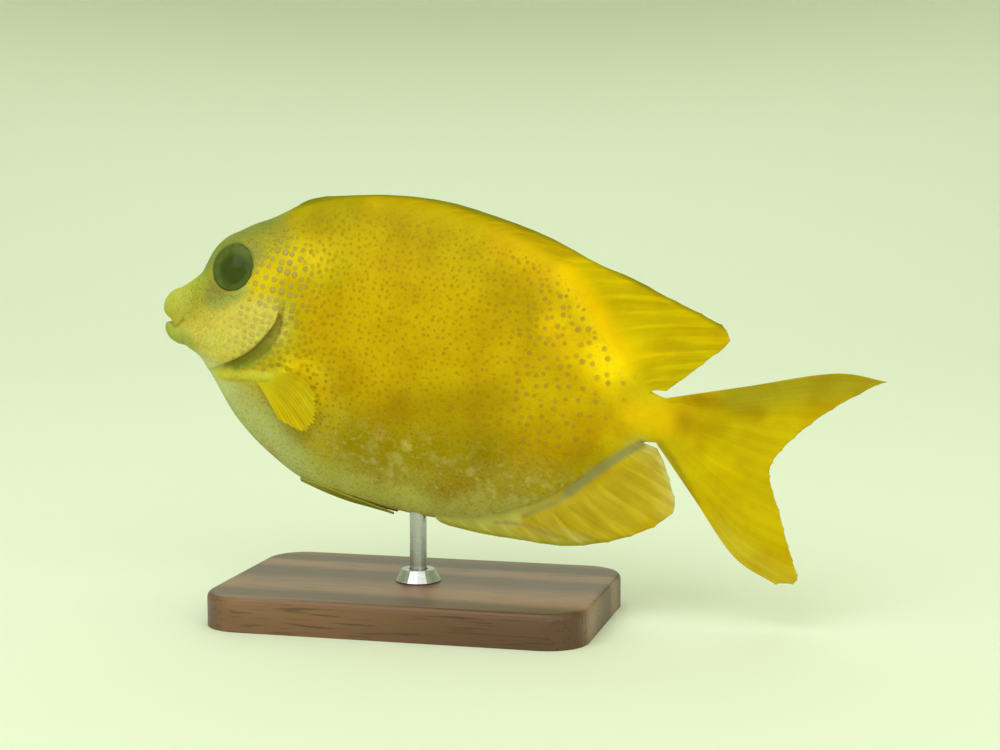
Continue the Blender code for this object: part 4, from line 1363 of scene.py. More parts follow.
@dataclass(frozen=True)
class LivingEye:
    """A fish's eye under a clear wet cornea: sharp highlights over a nearly black green."""

    name: str = "cornea_over_dark_iris"
    pupil: str = "#35430f"
    iris: str = "#4c5a1e"
    iris_edge: str = "#5d6a29"
    fibre: str = "#3e4b16"
    ring: str = "#66723a"

    def material(self) -> Material:
        """Mix the finish.

        Returns:
            A material that reads how far out on the eye each place is.
        """
        material, tree, shader = new_material(self.name)
        out = add_node(tree, "Attribute", {"attribute_name": "eye_reach"}).outputs["Fac"]
        turn = add_node(tree, "Attribute", {"attribute_name": "eye_turn"}).outputs["Vector"]
        ramp = add_node(tree, "ValToRGB", sockets={"Fac": out})
        stops = ((0.0, self.pupil), (0.52, self.pupil), (0.68, self.iris), (0.86, self.iris_edge),
                 (0.98, self.iris))
        for place, colour in stops[1:-1]:
            ramp.color_ramp.elements.new(place).color = rgba(colour)
        ramp.color_ramp.elements[0].color = rgba(stops[0][1])
        ramp.color_ramp.elements[-1].position = stops[-1][0]
        ramp.color_ramp.elements[-1].color = rgba(stops[-1][1])
        fibres = add_node(tree, "TexNoise", sockets={"Vector": turn, "Scale": 3.0, "Detail": 4.0})
        share = add_node(tree, "MapRange",
                         sockets={"Value": fibres.outputs["Fac"], 1: 0.4, 2: 0.65, 4: 0.6})
        colour = add_node(tree, "Mix", OVER,
                          {0: share.outputs[0], 6: ramp.outputs["Color"], 7: rgba(self.fibre)}).outputs[2]
        rim = add_node(tree, "Attribute", {"attribute_name": "eye_rim"}).outputs["Fac"]
        colour = add_node(tree, "Mix", OVER, {0: rim, 6: colour, 7: rgba(self.ring)}).outputs[2]
        tree.links.new(colour, shader.inputs["Base Color"])
        set_sockets(shader, roughness=0.35, ior=1.376, coat_weight=0.14, coat_roughness=0.05,
                    specular_ior_level=0.1)
        return material


@dataclass
class Eye:
    """One eyeball: a flattened globe with a bulging cornea, set in its socket."""

    side: Side
    form: BodyForm
    pose: Pose
    axis: Triple = (-0.27, 0.94, 0.20)
    radius: float = 8.7
    depth: float = 4.4
    stands_out: float = 2.0
    brow_swell: float = 1.2
    gaze: Triple = (0.3, 0.0, -0.1)
    gap: float = 0.1
    bulge: float = 0.55
    bulge_share: float = 0.62
    # The pale rim low at the rear: the way it lies in x and z, and its strength
    rim_way: Pair = (0.75, 0.66)
    rim_strength: float = 0.4
    segments: int = 72
    rings: int = 44

    def direction(self) -> Vector:
        """Where the eye looks."""
        x, y, z = self.axis
        return Vector((x, y * self.side.value, z)).normalized()

    def centre(self) -> Array:
        """The globe's middle, sunk under the skin.

        Returns:
            Its x, y and z.
        """
        x, z = EYE_PLACE
        skin = float(self.form.half_width(np.array(x), np.array(z))) + self.brow_swell
        on_skin = np.array([x, skin * self.side.value, z])
        return on_skin - np.array(self.direction()) * (self.depth - self.stands_out)

    def socket(self) -> Solid:
        """The socket that holds the eye."""
        radii = [self.radius + self.gap, self.radius + self.gap, self.depth + self.gap]
        return Solid.ellipsoid(self.centre(), radii, 28, self.direction())

    def build(self, finish: LivingEye) -> Object:
        """Make the eye and dress it.

        Args:
            finish: The eye's finish.

        Returns:
            The finished eyeball.
        """
        polar = np.pi * (np.arange(self.rings) + 0.5) / self.rings
        around = 2 * np.pi * np.arange(self.segments) / self.segments
        turn = np.array(self.direction().to_track_quat("Z", "Y").to_matrix())
        aside, up = (np.array(self.gaze) @ turn)[:2]
        reach = np.sin(polar)[:, None]
        right, high = reach * np.cos(around), reach * np.sin(around)
        from_pupil = np.hypot(right - aside, high - up)
        dome = np.clip(1 - (from_pupil / self.bulge_share) ** 2, 0.0, 1.0) ** 2
        out = np.cos(polar)[:, None] * self.depth + self.bulge * dome * (polar < np.pi / 2)[:, None]
        local = np.stack([right * self.radius, high * self.radius, out], axis=2)
        solid = Solid.from_rings(local @ turn.T + self.centre())
        eye = solid.to_object(f"eye_{self.side.word}_globe")
        mesh = eye.data
        reach_all = np.broadcast_to(reach, (self.rings, self.segments)).ravel()
        add_attribute(mesh, "eye_reach", from_pupil.ravel())
        add_attribute(mesh, "eye_turn", (local / self.radius).reshape(-1, 3))
        offset = solid.points - self.centre()
        back, down = self.rim_way
        toward = (back * offset[:, 0] - down * offset[:, 2]) / self.radius
        rim = self.rim_strength * smoothstep(toward, 0.45, 0.8) * smoothstep(reach_all, 0.78, 0.84)
        add_attribute(mesh, "eye_rim", rim)
        mesh.materials.append(finish.material())
        set_mesh_points(mesh, self.pose.world(solid.points))
        mesh.shade_smooth()
        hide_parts(f"eye_{self.side.word}")
        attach(eye, "root")
        return eye


@dataclass(frozen=True)
class FinMembrane:
    """Thin skin stretched over bony rays: satin, a little light passing through its edge.

    The rays show as fine pale lines that branch towards the edge, with duller membrane between.
    """

    name: str = "fin_skin_over_rays"
    shade: str = "#a28c05"
    ray_light: str = "#e8cf06"
    streak: str = "#d2cb80"

    def material(self) -> Material:
        """Mix the finish.

        Returns:
            A material that reads the fin's ray and colour attributes.
        """
        material, tree, shader = new_material(self.name)
        ground = add_node(tree, "Attribute", {"attribute_name": "ground"}).outputs["Color"]
        ray, free = (add_node(tree, "Attribute", {"attribute_name": name}).outputs["Fac"]
                     for name in ("ray", "free"))
        lie = add_node(tree, "Attribute", {"attribute_name": "ray_lie"}).outputs["Vector"]
        place = add_node(tree, "Attribute", {"attribute_name": "fish_place"}).outputs["Vector"]
        colour = clouded(tree, ground, place)
        streaks = add_node(tree, "TexNoise",
                           sockets={"Vector": lie, "Scale": 1.0, "Detail": 4.0, "Roughness": 0.6})
        # Source, range, greatest strength, colour and how it is laid on
        for source, low, high, most, ink, how in (
                (streaks.outputs["Fac"], 0.4, 0.7, 0.5, self.streak, TINT),
                (ray, 0.4, 0.0, 0.28, self.shade, OVER), (ray, 0.5, 1.0, 0.1, self.ray_light, OVER)):
            share = add_node(tree, "MapRange", None, {"Value": source, 1: low, 2: high, 4: most})
            share = add_node(tree, "Math", TIMES, {0: share.outputs[0], 1: free})
            colour = add_node(tree, "Mix", how, {0: share.outputs[0], 6: colour, 7: rgba(ink)}).outputs[2]
        tree.links.new(colour, shader.inputs["Base Color"])
        grain = add_node(tree, "TexNoise", sockets={"Vector": lie, "Scale": 2.2, "Detail": 2.0})
        bump = add_node(tree, "Bump",
                        sockets={"Height": grain.outputs["Fac"], "Strength": 0.5, "Distance": 0.00015})
        tree.links.new(bump.outputs["Normal"], shader.inputs["Normal"])
        set_sockets(shader, roughness=0.5, ior=1.38, specular_ior_level=0.04,
                    subsurface_weight=0.15, subsurface_radius=(1.0, 0.7, 0.1),
                    subsurface_scale=0.0012)
        return material


@dataclass
class RayedFin:
    """A fin of one closed skin over rays that branch towards its edge.

    rays holds key rays, front ray first, each a row of x, y, z points from root to tip, and
    numbers tells which of the real rays each is. The first of the real rays, as many as spines,
    are stiff and don't branch. A fin that grows from the body's outline has that body, and
    outward is 1 above it and -1 below it.
    """

    name: str
    nodes: tuple[str, ...]
    rays: Array
    numbers: Sequence[float]
    root: float
    edge: float
    body: BodyForm | None = None
    outward: int = 1
    spines: int = 0
    ridge: float = 0.12
    notch: float = 0.014
    ragged: float = 0.008
    wave: float = 0.25
    sink: float = 4.0
    foot: float = 1.6
    streaks: Pair = (0.04, 1.0)
    colour: tuple[str, str] | None = None
    per_ray: int = 14
    rows: int = 60
    # How deep the edge is split between a soft ray's branches, as a share of the notch
    branch_split: float = 0.35
    # How far each branch turns off, as a share of the rays' spacing
    first_branch: float = 0.13
    second_branch: float = 0.07
    # A ray's width at its root, and what it loses where it is soft and at its tip
    ray_width: Triple = (0.16, 0.04, 0.05)
    ray_thinning: float = 0.65
    waves_per_ray: float = 0.31
    waves_per_length: float = 0.7
    # The streaks' spacing over the sheet, in units of their noise
    streak_lie: Pair = (3.1, 1.6)

    def shape(self) -> tuple[Array, Array, Array]:
        """Work out the fin's middle sheet.

        Returns:
            Points by column and row, each column's place in rays and each row's share of the
            length.
        """
        columns = round(self.numbers[-1]) * self.per_ray + 1
        lengthwise = through(np.array(self.rays, dtype=float).transpose(1, 0, 2), self.rows)
        grid = through(lengthwise.transpose(1, 0, 2), columns, self.numbers)
        at_ray = np.arange(columns) / self.per_ray
        share = np.linspace(0, 1, self.rows)
        if self.body is not None:
            grid[..., 2] += (self.outline(grid[:, :1, 0]) - grid[:, :1, 2]) * (1 - share) ** 2
        draw = np.random.default_rng(SEED + len(self.name))
        per_ray = draw.uniform(0, self.ragged, round(self.numbers[-1]) + 2)
        uneven = np.interp(at_ray, np.arange(len(per_ray)), per_ray)
        splits = np.abs(np.sin(np.pi * at_ray * 2)) ** 0.5 * self.branch_split * self.soft(at_ray)
        drawn_in = self.notch * (np.abs(np.sin(np.pi * at_ray)) ** 0.8 + splits) + uneven
        grid += (grid[:, :1] - grid) * (drawn_in[:, None] * share**2)[..., None]
        return self.rooted(grid, share), at_ray, share

    def outline(self, x: Array) -> Array:
        """Height of the body's outline that the fin grows from."""
        return smooth_curve(self.body.back if self.outward > 0 else self.body.belly, x)

    def soft(self, at_ray: Array) -> Array:
        """0 at the stiff spines and 1 at the branching rays."""
        return smoothstep(at_ray, self.spines - 1.0, self.spines + 1.0)

    def rooted(self, grid: Array, share: Array) -> Array:
        """Push the first rows of the sheet into the body that the fin grows from.

        Args:
            grid: The sheet's points.
            share: Each row's share of the length.

        Returns:
            The rooted sheet.
        """
        start = grid[:, 1:2] - grid[:, :1]
        start /= np.maximum(np.linalg.norm(start, axis=2, keepdims=True), 1e-6)
        if self.body is not None:
            start = np.array([0.0, 0.0, float(self.outward)])
        return grid - start * (self.sink * (1 - share)[None, :, None] ** 8)

    def ray_relief(self, at_ray: Array, share: Array) -> Array:
        """How strongly each place of the sheet is ray, from 0 to 1.

        Args:
            at_ray: Each column's place in rays.
            share: Each row's share of the length.

        Returns:
            One value for each point.
        """
        offset = (at_ray - np.round(at_ray))[:, None]
        share = share[None, :]
        soft = self.soft(at_ray)[:, None]
        first = self.first_branch * smoothstep(share, 0.25, 1.0) * soft
        second = self.second_branch * smoothstep(share, 0.6, 1.1) * soft
        root, softer, tip = self.ray_width
        width = root - softer * soft - tip * share
        relief = np.zeros((len(at_ray), share.shape[1]))
        for a in (-1, 1):
            for b in (-1, 1):
                relief = np.maximum(relief, np.exp(-((offset - a * first - b * second) / width) ** 2))
        return relief * smoothstep(share, 0.02, 0.22)

    def half_thickness(self, grid: Array, share: Array) -> Array:
        """Half the fin's thickness between its rays.

        Args:
            grid: The middle sheet's points.
            share: Each row's share of the length.

        Returns:
            One value for each point. On the midline the foot spreads to meet the body's slope.
        """
        half = (self.edge + (self.root - self.edge) * (1 - share) ** 2) / 2
        half = np.broadcast_to(half, grid.shape[:2])
        if self.body is None:
            return half
        x, z = grid[..., 0], grid[..., 2]
        edge = self.outline(x)
        meets = self.body.half_width(x, edge - self.outward * self.foot)
        deeper = self.body.half_width(x, edge - self.outward * (self.foot + 0.4))
        rise = np.maximum(meets - half, 0.02)
        reach = np.clip(0.4 * rise / np.maximum(deeper - meets, 0.01), 0.8, 4.0)
        sunk = self.outward * (edge - z) - self.foot
        spread = half + rise * np.exp(np.minimum(sunk, 1.0) / reach)
        inside = self.body.half_width(x, z) - 0.15
        return np.where(sunk > 0, np.minimum(spread, np.maximum(inside, 0.1)), spread)

    def build(self, livery: Livery, pose: Pose, finish: Material) -> Object:
        """Make the fin, dress it and hand it over to the frame.

        Args:
            livery: The fish's colours.
            pose: Where the fish hangs.
            finish: The fins' material.

        Returns:
            The finished fin.
        """
        grid, at_ray, share = self.shape()
        relief = self.ray_relief(at_ray, share)
        across, along = np.gradient(grid, axis=0), np.gradient(grid, axis=1)
        normal = np.cross(across, along)
        normal /= np.maximum(np.linalg.norm(normal, axis=2, keepdims=True), 1e-9)
        turns = self.waves_per_ray * at_ray[:, None] + self.waves_per_length * share[None, :]
        ripple = np.sin(2 * np.pi * turns)
        ripple *= self.soft(at_ray)[:, None]
        grid = grid + normal * (self.wave * ripple * share[None, :] ** 1.5)[..., None]
        half = self.half_thickness(grid, share)
        half = half + self.ridge * (1 - self.ray_thinning * share)[None, :] * relief
        sheets = np.concatenate([grid + normal * half[..., None], grid - normal * half[..., None]])
        fin = Solid(sheets.reshape(-1, 3), self.faces(*relief.shape)).to_object(self.name)
        mesh = fin.data
        add_attribute(mesh, "fish_place", sheets.reshape(-1, 3))
        colour = livery.paint(sheets.reshape(-1, 3))
        if self.colour is not None:
            near, far = (linear(c) for c in self.colour)
            toward = smoothstep(share, 0.1, 0.7)[:, None]
            colour[:, :3] = np.tile(near + (far - near) * toward, (2 * len(at_ray), 1))
        add_attribute(mesh, "ground", colour)
        add_attribute(mesh, "ray", np.tile(relief.ravel(), 2))
        by_ray, by_length = self.streak_lie
        lie = np.stack([np.repeat(at_ray * by_ray, len(share)),
                        np.tile(share * by_length, len(at_ray)), np.zeros(relief.size)], axis=1)
        add_attribute(mesh, "ray_lie", np.tile(lie, (2, 1)))
        start, strength = self.streaks
        free = strength * smoothstep(share, start, start + 0.35)
        add_attribute(mesh, "free", np.tile(free, 2 * len(at_ray)))
        mesh.materials.append(finish)
        set_mesh_points(mesh, pose.world(sheets.reshape(-1, 3)))
        mesh.shade_smooth()
        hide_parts(*self.nodes)
        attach(fin, "root")
        return fin

    @staticmethod
    def faces(columns: int, rows: int) -> list[tuple[int, ...]]:
        """Faces of two sheets of points and the border between them.

        Args:
            columns: Points across a sheet.
            rows: Points along it.

        Returns:
            Each face's point numbers.
        """
        other = columns * rows
        faces = []
        for i in range(columns - 1):
            for j in range(rows - 1):
                a, b = i * rows + j, (i + 1) * rows + j
                faces.append((a, b, b + 1, a + 1))
                faces.append((other + a + 1, other + b + 1, other + b, other + a))
        border = [i * rows for i in range(columns)]
        border += [(columns - 1) * rows + j for j in range(1, rows)]
        border += [i * rows + rows - 1 for i in range(columns - 2, -1, -1)]
        border += [j for j in range(rows - 2, 0, -1)]
        for a, b in zip(border, border[1:] + border[:1]):
            faces.append((b, a, other + a, other + b))
        return faces


def lying(line: Line, rays: Sequence) -> list:
    """Key rays whose heights are given from the body's outline."""
    return [[(x, z + float(smooth_curve(line, x))) for x, z in ray] for ray in rays]


def on_midline(rays: Sequence) -> Array:
    """Key rays of x, z points set on the fish's midline."""
    return np.array([[(x, 0.0, z) for x, z in ray] for ray in rays])


@dataclass
class Fins:
    """All the fish's fins, as key rays and the counts of real rays."""

    form: BodyForm
    livery: Livery
    pose: Pose
    spiny_dorsal: Sequence = (
        ((40.0, 0), (46.0, 0.9), (52.0, 1.3)), ((56.0, 0), (65.0, 1.1), (74.0, 2.0)),
        ((75.0, 0), (85.0, 1.8), (95.0, 3.0)), ((94.0, 0), (104.5, 2.0), (115.0, 3.6)),
        ((113.0, 0), (123.0, 2.4), (133.0, 5.3)), ((133.5, 0), (142.4, 4.8), (151.2, 14.4)))
    soft_dorsal: Sequence = (
        ((141.5, 47), (153.0, 49.4), (164.5, 50.0)), ((147.5, 42), (162.5, 44.6), (177.5, 46.3)),
        ((153.8, 35), (172.0, 39.0), (190.5, 43.0)), ((158.6, 29), (178.6, 35.4), (198.4, 40.2)),
        ((162.0, 25), (181.6, 31.4), (200.0, 35.4)), ((166.6, 20), (181.5, 25.4), (195.4, 29.8)),
        ((171.3, 17), (180.5, 19.6), (189.0, 22.2)), ((176.4, 14), (179.6, 14.8), (182.6, 15.2)))
    dorsal_numbers: tuple = (0, 2, 4.5, 7.2, 9.8, 12.2, 13.5, 14.8, 16.2, 17.4, 18.2, 19.4, 20.8, 22)
    spiny_anal: Sequence = (
        ((112.0, 0), (115.0, -1.2), (118.0, -2.2)), ((120.0, 0), (125.0, -2.6), (130.0, -5.2)),
        ((133.0, 0), (138.0, -6.0), (143.0, -10.8)), ((145.2, 0), (152.4, -11.0), (159.0, -22.2)))
    soft_anal: Sequence = (
        ((151.0, -31), (160.5, -38.2), (170.0, -42.2)), ((156.2, -26), (168.0, -32.6), (179.8, -37.6)),
        ((161.2, -21), (175.0, -26.0), (188.3, -31.6)),
        ((165.4, -16), (180.0, -19.4), (193.9, -24.4)), ((169.2, -11), (181.0, -13.4), (191.4, -17.0)),
        ((173.0, -6.6), (181.0, -7.6), (187.4, -9.8)), ((176.4, -4.2), (180.0, -4.3), (183.6, -5.0)))
    anal_numbers: tuple = (0, 2, 4, 6.2, 7.5, 8.8, 10, 11.2, 12.5, 13.8, 15)
    caudal: Sequence = (
        ((182.4, 12.5), (208.0, 22.4), (236.0, 33.2), (253.6, 34.2)),
        ((182.4, 11.1), (204.0, 17.2), (228.0, 26.0), (249.4, 31.4)),
        ((182.4, 9.6), (201.0, 12.6), (220.0, 17.9), (238.6, 21.8)),
        ((182.4, 8.1), (198.0, 9.2), (214.0, 11.4), (230.6, 12.6)),
        ((182.4, 6.7), (196.0, 6.3), (210.0, 5.6), (225.3, 4.9)),
        ((182.4, 5.2), (195.0, 3.4), (208.0, 1.0), (222.4, -2.3)),
        ((182.4, 3.6), (195.6, -0.8), (209.0, -5.8), (224.1, -9.0)),
        ((182.4, 2.2), (197.0, -5.2), (212.0, -13.2), (228.7, -17.3)),
        ((182.4, 0.8), (198.2, -9.8), (214.5, -20.6), (232.9, -25.6)),
        ((182.4, -0.2), (198.6, -12.6), (216.2, -26.6), (236.6, -32.6)),
        ((182.4, -1.2), (198.8, -15.4), (216.8, -30.6), (239.4, -38.8)),
        ((182.4, -2.4), (199.0, -18.3), (216.6, -35.2), (232.6, -41.6)))
    pectoral: Sequence = (
        ((51.6, -7.4), (61.4, -20.6, -5.6), (70.9, -31.6, -8.8)),
        ((49.6, -8.6), (60.8, -21.8, -8.6), (73.4, -33.8, -13.4)),
        ((47.4, -9.8), (58.6, -21.6, -11.8), (72.4, -32.6, -18.6)),
        ((45.2, -10.9), (55.4, -20.0, -14.8), (68.4, -30.0, -22.2)),
        ((41.6, -11.6), (48.6, -17.0, -15.2), (57.8, -23.6, -21.6)))
    pelvic_root_x: float = 64.0
    pelvic_length: float = 34.0
    pelvic_inner: Line = ((0.0, 2.0), (0.6, 1.6), (1.0, 2.2))
    pelvic_outer: Line = ((0.0, 4.6), (0.3, 5.6), (0.7, 4.8), (1.0, 2.9))
    # How far the folded fin stands off the belly at its root, and how much more at its tip
    pelvic_clear: Pair = (0.55, 1.1)
    # How many spines stand before the branching rays
    dorsal_spines: int = 13
    anal_spines: int = 7
    # Thickness at the root and at the edge
    median_thickness: Pair = (1.2, 0.5)
    caudal_thickness: Pair = (2.4, 0.4)
    pectoral_thickness: Pair = (1.8, 0.35)
    pectoral_colour: tuple[str, str] = ("#c2b61a", "#d2bc0e")
    pelvic_colour: tuple[str, str] = ("#9c9c40", "#8a8a38")

    def build(self, finish: FinMembrane) -> list[Object]:
        """Make every fin.

        Args:
            finish: The fins' finish.

        Returns:
            The finished fins.
        """
        material = finish.material()
        fins = [*self.median(), *(f for side in Side for f in (self.breast(side), self.pelvic(side)))]
        return [fin.build(self.livery, self.pose, material) for fin in fins]

    def median(self) -> list[RayedFin]:
        """The fins of the back, the underside and the tail."""
        back, belly = self.form.back, self.form.belly
        return [
            RayedFin("dorsal_rays", ("dorsal_fin_spiny", "dorsal_fin_soft"),
                     on_midline([*lying(back, self.spiny_dorsal), *self.soft_dorsal]),
                     self.dorsal_numbers, *self.median_thickness, self.form, 1,
                     spines=self.dorsal_spines, per_ray=16),
            RayedFin("anal_rays", ("anal_fin_spiny", "anal_fin_soft"),
                     on_midline([*lying(belly, self.spiny_anal), *self.soft_anal]),
                     self.anal_numbers, *self.median_thickness, self.form, -1,
                     spines=self.anal_spines, per_ray=16),
            RayedFin("caudal_rays", ("caudal_fin_upper_lobe", "caudal_fin_lower_lobe"),
                     on_midline(self.caudal), np.linspace(0, 16, len(self.caudal)),
                     *self.caudal_thickness, notch=0.008, ragged=0.004, sink=5.0, rows=90,
                     wave=0.35, streaks=(0.2, 0.35), ridge=0.07),
        ]

    def breast(self, side: Side) -> RayedFin:
        """One pectoral fin, spread back and outward from its fleshy root.

        Args:
            side: The side it is on.

        Returns:
            The fin.
        """
        rays = []
        for ray in self.pectoral:
            x, z = ray[0]
            y = float(self.form.half_width(np.array(x), np.array(z))) - 0.6
            rays.append([(x, y * side.value, z), *((px, -py * side.value, pz) for px, py, pz in ray[1:])])
        return RayedFin(f"breast_rays_{side.word}", (f"pectoral_fin_{side.word}",), np.array(rays),
                        np.linspace(0, 15, len(rays)), *self.pectoral_thickness, notch=0.03,
                        per_ray=12, rows=50, sink=2.5, colour=self.pectoral_colour)

    def pelvic(self, side: Side) -> RayedFin:
        """One pelvic fin, folded along the belly.

        Args:
            side: The side it is on.

        Returns:
            The fin.
        """
        rays = []
        near, more = self.pelvic_clear
        for across in np.linspace(0, 1, 3):
            ray = []
            for along in np.linspace(0, 1, 5):
                x = self.pelvic_root_x + self.pelvic_length * along
                inner = float(smooth_curve(self.pelvic_inner, along))
                outer = float(smooth_curve(self.pelvic_outer, along))
                y = outer + (inner - outer) * across
                clear = near + more * along**2
                ray.append((x, y * side.value, self.form.belly_height(x, y) - clear))
            rays.append(ray)
        return RayedFin(f"pelvic_rays_{side.word}", (f"pelvic_fin_{side.word}",), np.array(rays),
                        np.linspace(0, 4, len(rays)), *self.median_thickness, notch=0.05, rows=48,
                        sink=1.5, wave=0.1, colour=self.pelvic_colour)


@dataclass(frozen=True)
class OiledWalnut:
    """Planed and oiled walnut: brown wood with darker growth rings and fine open pores."""

    name: str = "oiled_walnut"
    light: str = "#8a6243"
    dark: str = "#56371f"
    pore: str = "#3a2413"
    ring_width: float = 0.0045
    # Walnut's pores are about 0.2 mm wide and are drawn coarser, so that they show
    pore_width: float = 0.0005

    def material(self) -> Material:
        """Mix the finish.

        Returns:
            A material with its grain along X.
        """
        material, tree, shader = new_material(self.name)
        place = add_node(tree, "NewGeometry").outputs["Position"]
        slow = add_node(tree, "VectorMath", TIMES, {0: place, 1: (0.12, 1.0, 1.0)})
        warp = add_node(tree, "TexNoise",
                        sockets={"Vector": slow.outputs[0], "Scale": 60.0, "Detail": 3.0})
        bands = add_node(tree, "TexWave", {"wave_type": "BANDS", "bands_direction": "Y"},
                         {"Vector": slow.outputs[0], "Scale": 1 / (self.ring_width * 20),
                          "Distortion": 7.0, "Detail": 3.0, "Detail Scale": 1.2})
        both = add_node(tree, "Math", TIMES, {0: bands.outputs["Fac"], 1: warp.outputs["Fac"]})
        ring = add_node(tree, "MapRange", sockets={"Value": both.outputs[0], 1: 0.08, 2: 0.5})
        colour = add_node(tree, "Mix", OVER,
                          {0: ring.outputs[0], 6: rgba(self.dark), 7: rgba(self.light)}).outputs[2]
        long = add_node(tree, "VectorMath", TIMES, {0: place, 1: (0.05, 1.0, 1.0)})
        pores = add_node(tree, "TexNoise", sockets={"Vector": long.outputs[0],
                                                    "Scale": 0.5 / self.pore_width, "Detail": 2.0})
        share = add_node(tree, "MapRange",
                         sockets={"Value": pores.outputs["Fac"], 1: 0.56, 2: 0.66, 4: 0.7})
        colour = add_node(tree, "Mix", OVER,
                          {0: share.outputs[0], 6: colour, 7: rgba(self.pore)}).outputs[2]
        tree.links.new(colour, shader.inputs["Base Color"])
        bump = add_node(tree, "Bump", {"invert": True},
                        {"Height": share.outputs[0], "Strength": 0.4, "Distance": 0.0001})
        tree.links.new(bump.outputs["Normal"], shader.inputs["Normal"])
        set_sockets(shader, roughness=0.42, ior=1.5, coat_weight=0.12, coat_roughness=0.3)
        return material


@dataclass(frozen=True)
class BrushedSteel:
    """Stainless steel brushed round its length: grey metal whose highlights spread sideways."""

    name: str = "brushed_stainless_steel"
    colour: str = "#b9babb"
    # The brush leaves lines of about 0.05 mm, drawn coarser here so that they show
    line_width: float = 0.00022

    def material(self) -> Material:
        """Mix the finish.

        Returns:
            The material.
        """
        material, tree, shader = new_material(self.name)
        place = add_node(tree, "NewGeometry").outputs["Position"]
        flat = add_node(tree, "VectorMath", TIMES, {0: place, 1: (0.05, 0.05, 1.0)})
        lines = add_node(tree, "TexNoise", sockets={"Vector": flat.outputs[0],
                                                    "Scale": 0.5 / self.line_width, "Detail": 3.0})
        rough = add_node(tree, "MapRange",
                         sockets={"Value": lines.outputs["Fac"], 1: 0.3, 2: 0.7, 3: 0.24, 4: 0.4})
        tree.links.new(rough.outputs[0], shader.inputs["Roughness"])
        bump = add_node(tree, "Bump",
                        sockets={"Height": lines.outputs["Fac"], "Strength": 0.2, "Distance": 0.00002})
        tree.links.new(bump.outputs["Normal"], shader.inputs["Normal"])
        set_sockets(shader, base_color=rgba(self.colour), metallic=1.0)
        return material


@dataclass
class Stand:
    """The display stand: its solids stay as built and get their finishes."""

    wood: OiledWalnut
    steel: BrushedSteel

    def dress(self) -> list[str]:
        """Give each of the stand's nodes its material.

        Returns:
            The names of the dressed nodes.
        """
        wood, steel = self.wood.material(), self.steel.material()
        finishes = {"stand_base": wood, "stand_rod": steel, "stand_collar": steel}
        for name, material in finishes.items():
            obj = bpy.data.objects[name]
            if not obj.material_slots:
                obj.data.materials.append(None)
            for slot in obj.material_slots:
                slot.link = "OBJECT"
                slot.material = material
        return list(finishes)


@dataclass(frozen=True)
class PaperSweep:
    """Matt uncoated studio paper: no gloss, and a soft pale green cast from its dye."""

    name: str = "matt_studio_paper"
    colour: str = "#dfe6cf"
    # Real fibres are far finer and are drawn coarser, so that they show
    fibres_per_metre: float = 900.0

    def material(self) -> Material:
        """Mix the finish.

        Returns:
            The material.
        """
        material, tree, shader = new_material(self.name)
        place = add_node(tree, "NewGeometry").outputs["Position"]
        fibres = add_node(tree, "TexNoise",
                          sockets={"Vector": place, "Detail": 2.0, "Scale": self.fibres_per_metre})
        bump = add_node(tree, "Bump",
                        sockets={"Height": fibres.outputs["Fac"], "Strength": 0.05, "Distance": 0.0002})
        tree.links.new(bump.outputs["Normal"], shader.inputs["Normal"])
        set_sockets(shader, base_color=rgba(self.colour), roughness=0.9)
        return material


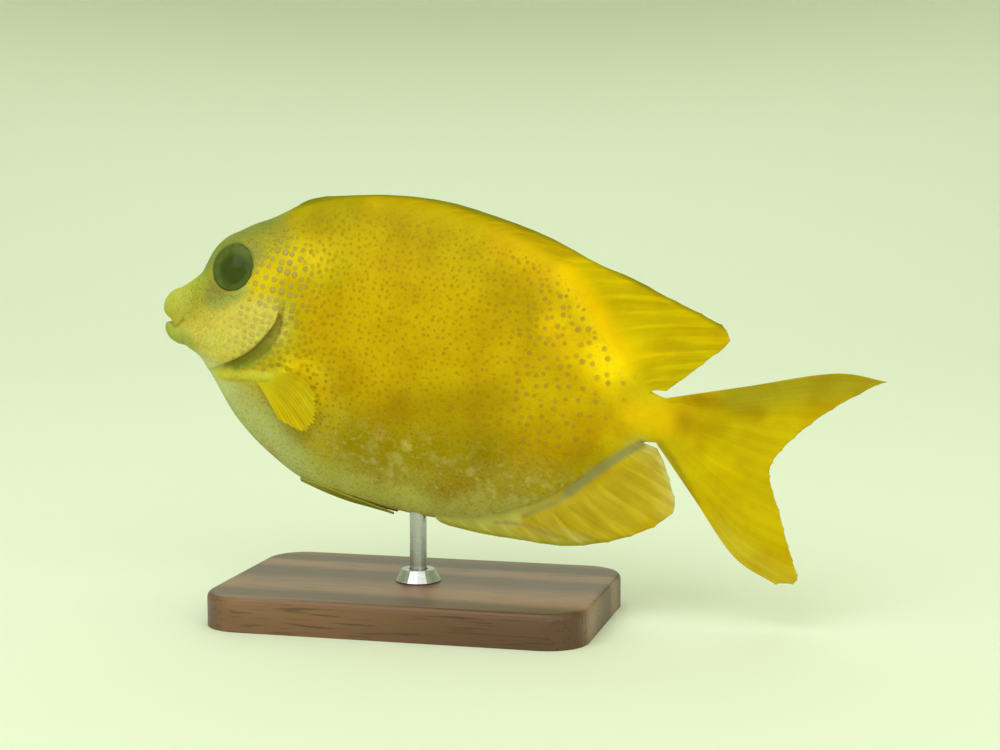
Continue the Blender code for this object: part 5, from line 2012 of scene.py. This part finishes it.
@dataclass
class Studio:
    """Pale floor, soft lamps and the camera at the photograph's viewing angle."""

    pose: Pose
    floor: PaperSweep
    azimuth: float = math.radians(14.0)
    elevation: float = math.radians(6.0)
    lens: float = 70.0
    sensor: float = 36.0
    camera_from_snout: Triple = (285.5, -647.3, 52.7)
    floor_reach: float = 1.0
    sweep: float = 2.6
    wall: float = 0.8
    haze: str = "#dbe7c6"
    haze_strength: float = 0.7
    # Each lamp's name, place in metres and power in watts
    lamps: Sequence = (("key_lamp", (-0.5, -1.4, 1.6), 20.0), ("fill_lamp", (1.2, -1.4, 1.1), 13.0),
                       ("top_lamp", (0.1, 0.1, 2.0), 9.0), ("back_lamp", (-0.4, 1.5, 1.4), 8.0))
    lamp_size: float = 1.6
    lamp_aim: Triple = (0.0, 0.0, 0.1)

    def build(self) -> None:
        """Lay the floor, hang the lamps and set the camera."""
        bpy.context.scene.view_settings.view_transform = "Standard"
        self.lay_floor()
        self.light_world()
        for name, place, power in self.lamps:
            self.hang(name, place, power)
        self.set_camera()

    def lay_floor(self) -> None:
        """One sheet of paper, flat under the stand and curving up far off on every side."""
        turns = np.linspace(0, np.pi / 2, 19)
        reach = [0.9 * self.floor_reach, *(self.floor_reach + self.sweep * np.sin(turns))]
        height = [0.0, *(self.sweep * (1 - np.cos(turns)))]
        reach.append(reach[-1])
        height.append(height[-1] + self.wall)
        around = np.linspace(0, 2 * np.pi, 73)[:-1]
        rings = [np.stack([r * np.cos(around), r * np.sin(around), 0 * around + z], axis=1)
                 for r, z in zip(reach, height)]
        sides = len(around)
        faces = [tuple(range(sides))]
        for r in range(len(rings) - 1):
            for i in range(sides):
                j = (i + 1) % sides
                faces.append((r * sides + j, r * sides + i, (r + 1) * sides + i, (r + 1) * sides + j))
        mesh = bpy.data.meshes.new("paper_sweep")
        mesh.from_pydata(np.concatenate(rings).tolist(), [], faces)
        mesh.materials.append(self.floor.material())
        mesh.shade_smooth()
        floor = bpy.data.objects.new("paper_sweep", mesh)
        bpy.context.scene.collection.objects.link(floor)

    def light_world(self) -> None:
        """Even pale light from all round."""
        world = bpy.data.worlds.new("studio_haze")
        world.use_nodes = True
        bpy.context.scene.world = world
        background = world.node_tree.nodes["Background"]
        background.inputs["Color"].default_value = rgba(self.haze)
        background.inputs["Strength"].default_value = self.haze_strength

    def hang(self, name: str, place: Triple, power: float) -> None:
        """Hang one large soft lamp that faces the fish.

        Args:
            name: The lamp's name.
            place: Where it hangs, in metres.
            power: Its power in watts.
        """
        lamp = bpy.data.lights.new(name, "AREA")
        lamp.shape = "SQUARE"
        lamp.size = self.lamp_size
        lamp.energy = power
        obj = bpy.data.objects.new(name, lamp)
        obj.location = place
        aim = Vector(self.lamp_aim) - Vector(place)
        obj.rotation_euler = aim.to_track_quat("-Z", "Y").to_euler()
        bpy.context.scene.collection.objects.link(obj)

    def set_camera(self) -> None:
        """Set the camera where the photograph was taken from."""
        camera = bpy.data.cameras.new("camera")
        camera.lens = self.lens
        camera.sensor_width = self.sensor
        camera.clip_start = 0.01
        obj = bpy.data.objects.new("camera", camera)
        x, y, z = self.camera_from_snout
        obj.location = Vector((x - self.pose.shift_x, y, z + self.pose.lift)) * MM
        level = math.cos(self.elevation)
        look = Vector((-math.sin(self.azimuth) * level, math.cos(self.azimuth) * level,
                       -math.sin(self.elevation)))
        obj.rotation_euler = look.to_track_quat("-Z", "Y").to_euler()
        bpy.context.scene.collection.objects.link(obj)
        bpy.context.scene.camera = obj


def write_sizes() -> None:
    """Bring the view layer up to date."""
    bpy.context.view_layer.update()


def main() -> None:
    """Build the model piece by piece and report each."""
    logging.basicConfig(level=logging.INFO, format="%(message)s")
    form, pose, livery = BodyForm(), Pose(), Livery()
    Studio(pose, PaperSweep()).build()
    log.info("studio: floor, lamps and camera")
    skin = Skin(form, pose, livery, ScaledSkin()).build()
    log.info("%s: %d faces", skin.name, len(skin.data.polygons))
    for side in Side:
        eye = Eye(side, form, pose).build(LivingEye())
        log.info("%s: %d faces", eye.name, len(eye.data.polygons))
    for fin in Fins(form, livery, pose).build(FinMembrane()):
        log.info("%s: %d faces", fin.name, len(fin.data.polygons))
    for name in Stand(OiledWalnut(), BrushedSteel()).dress():
        log.info("%s: dressed", name)
    write_sizes()


if __name__ == "__main__":
    main()
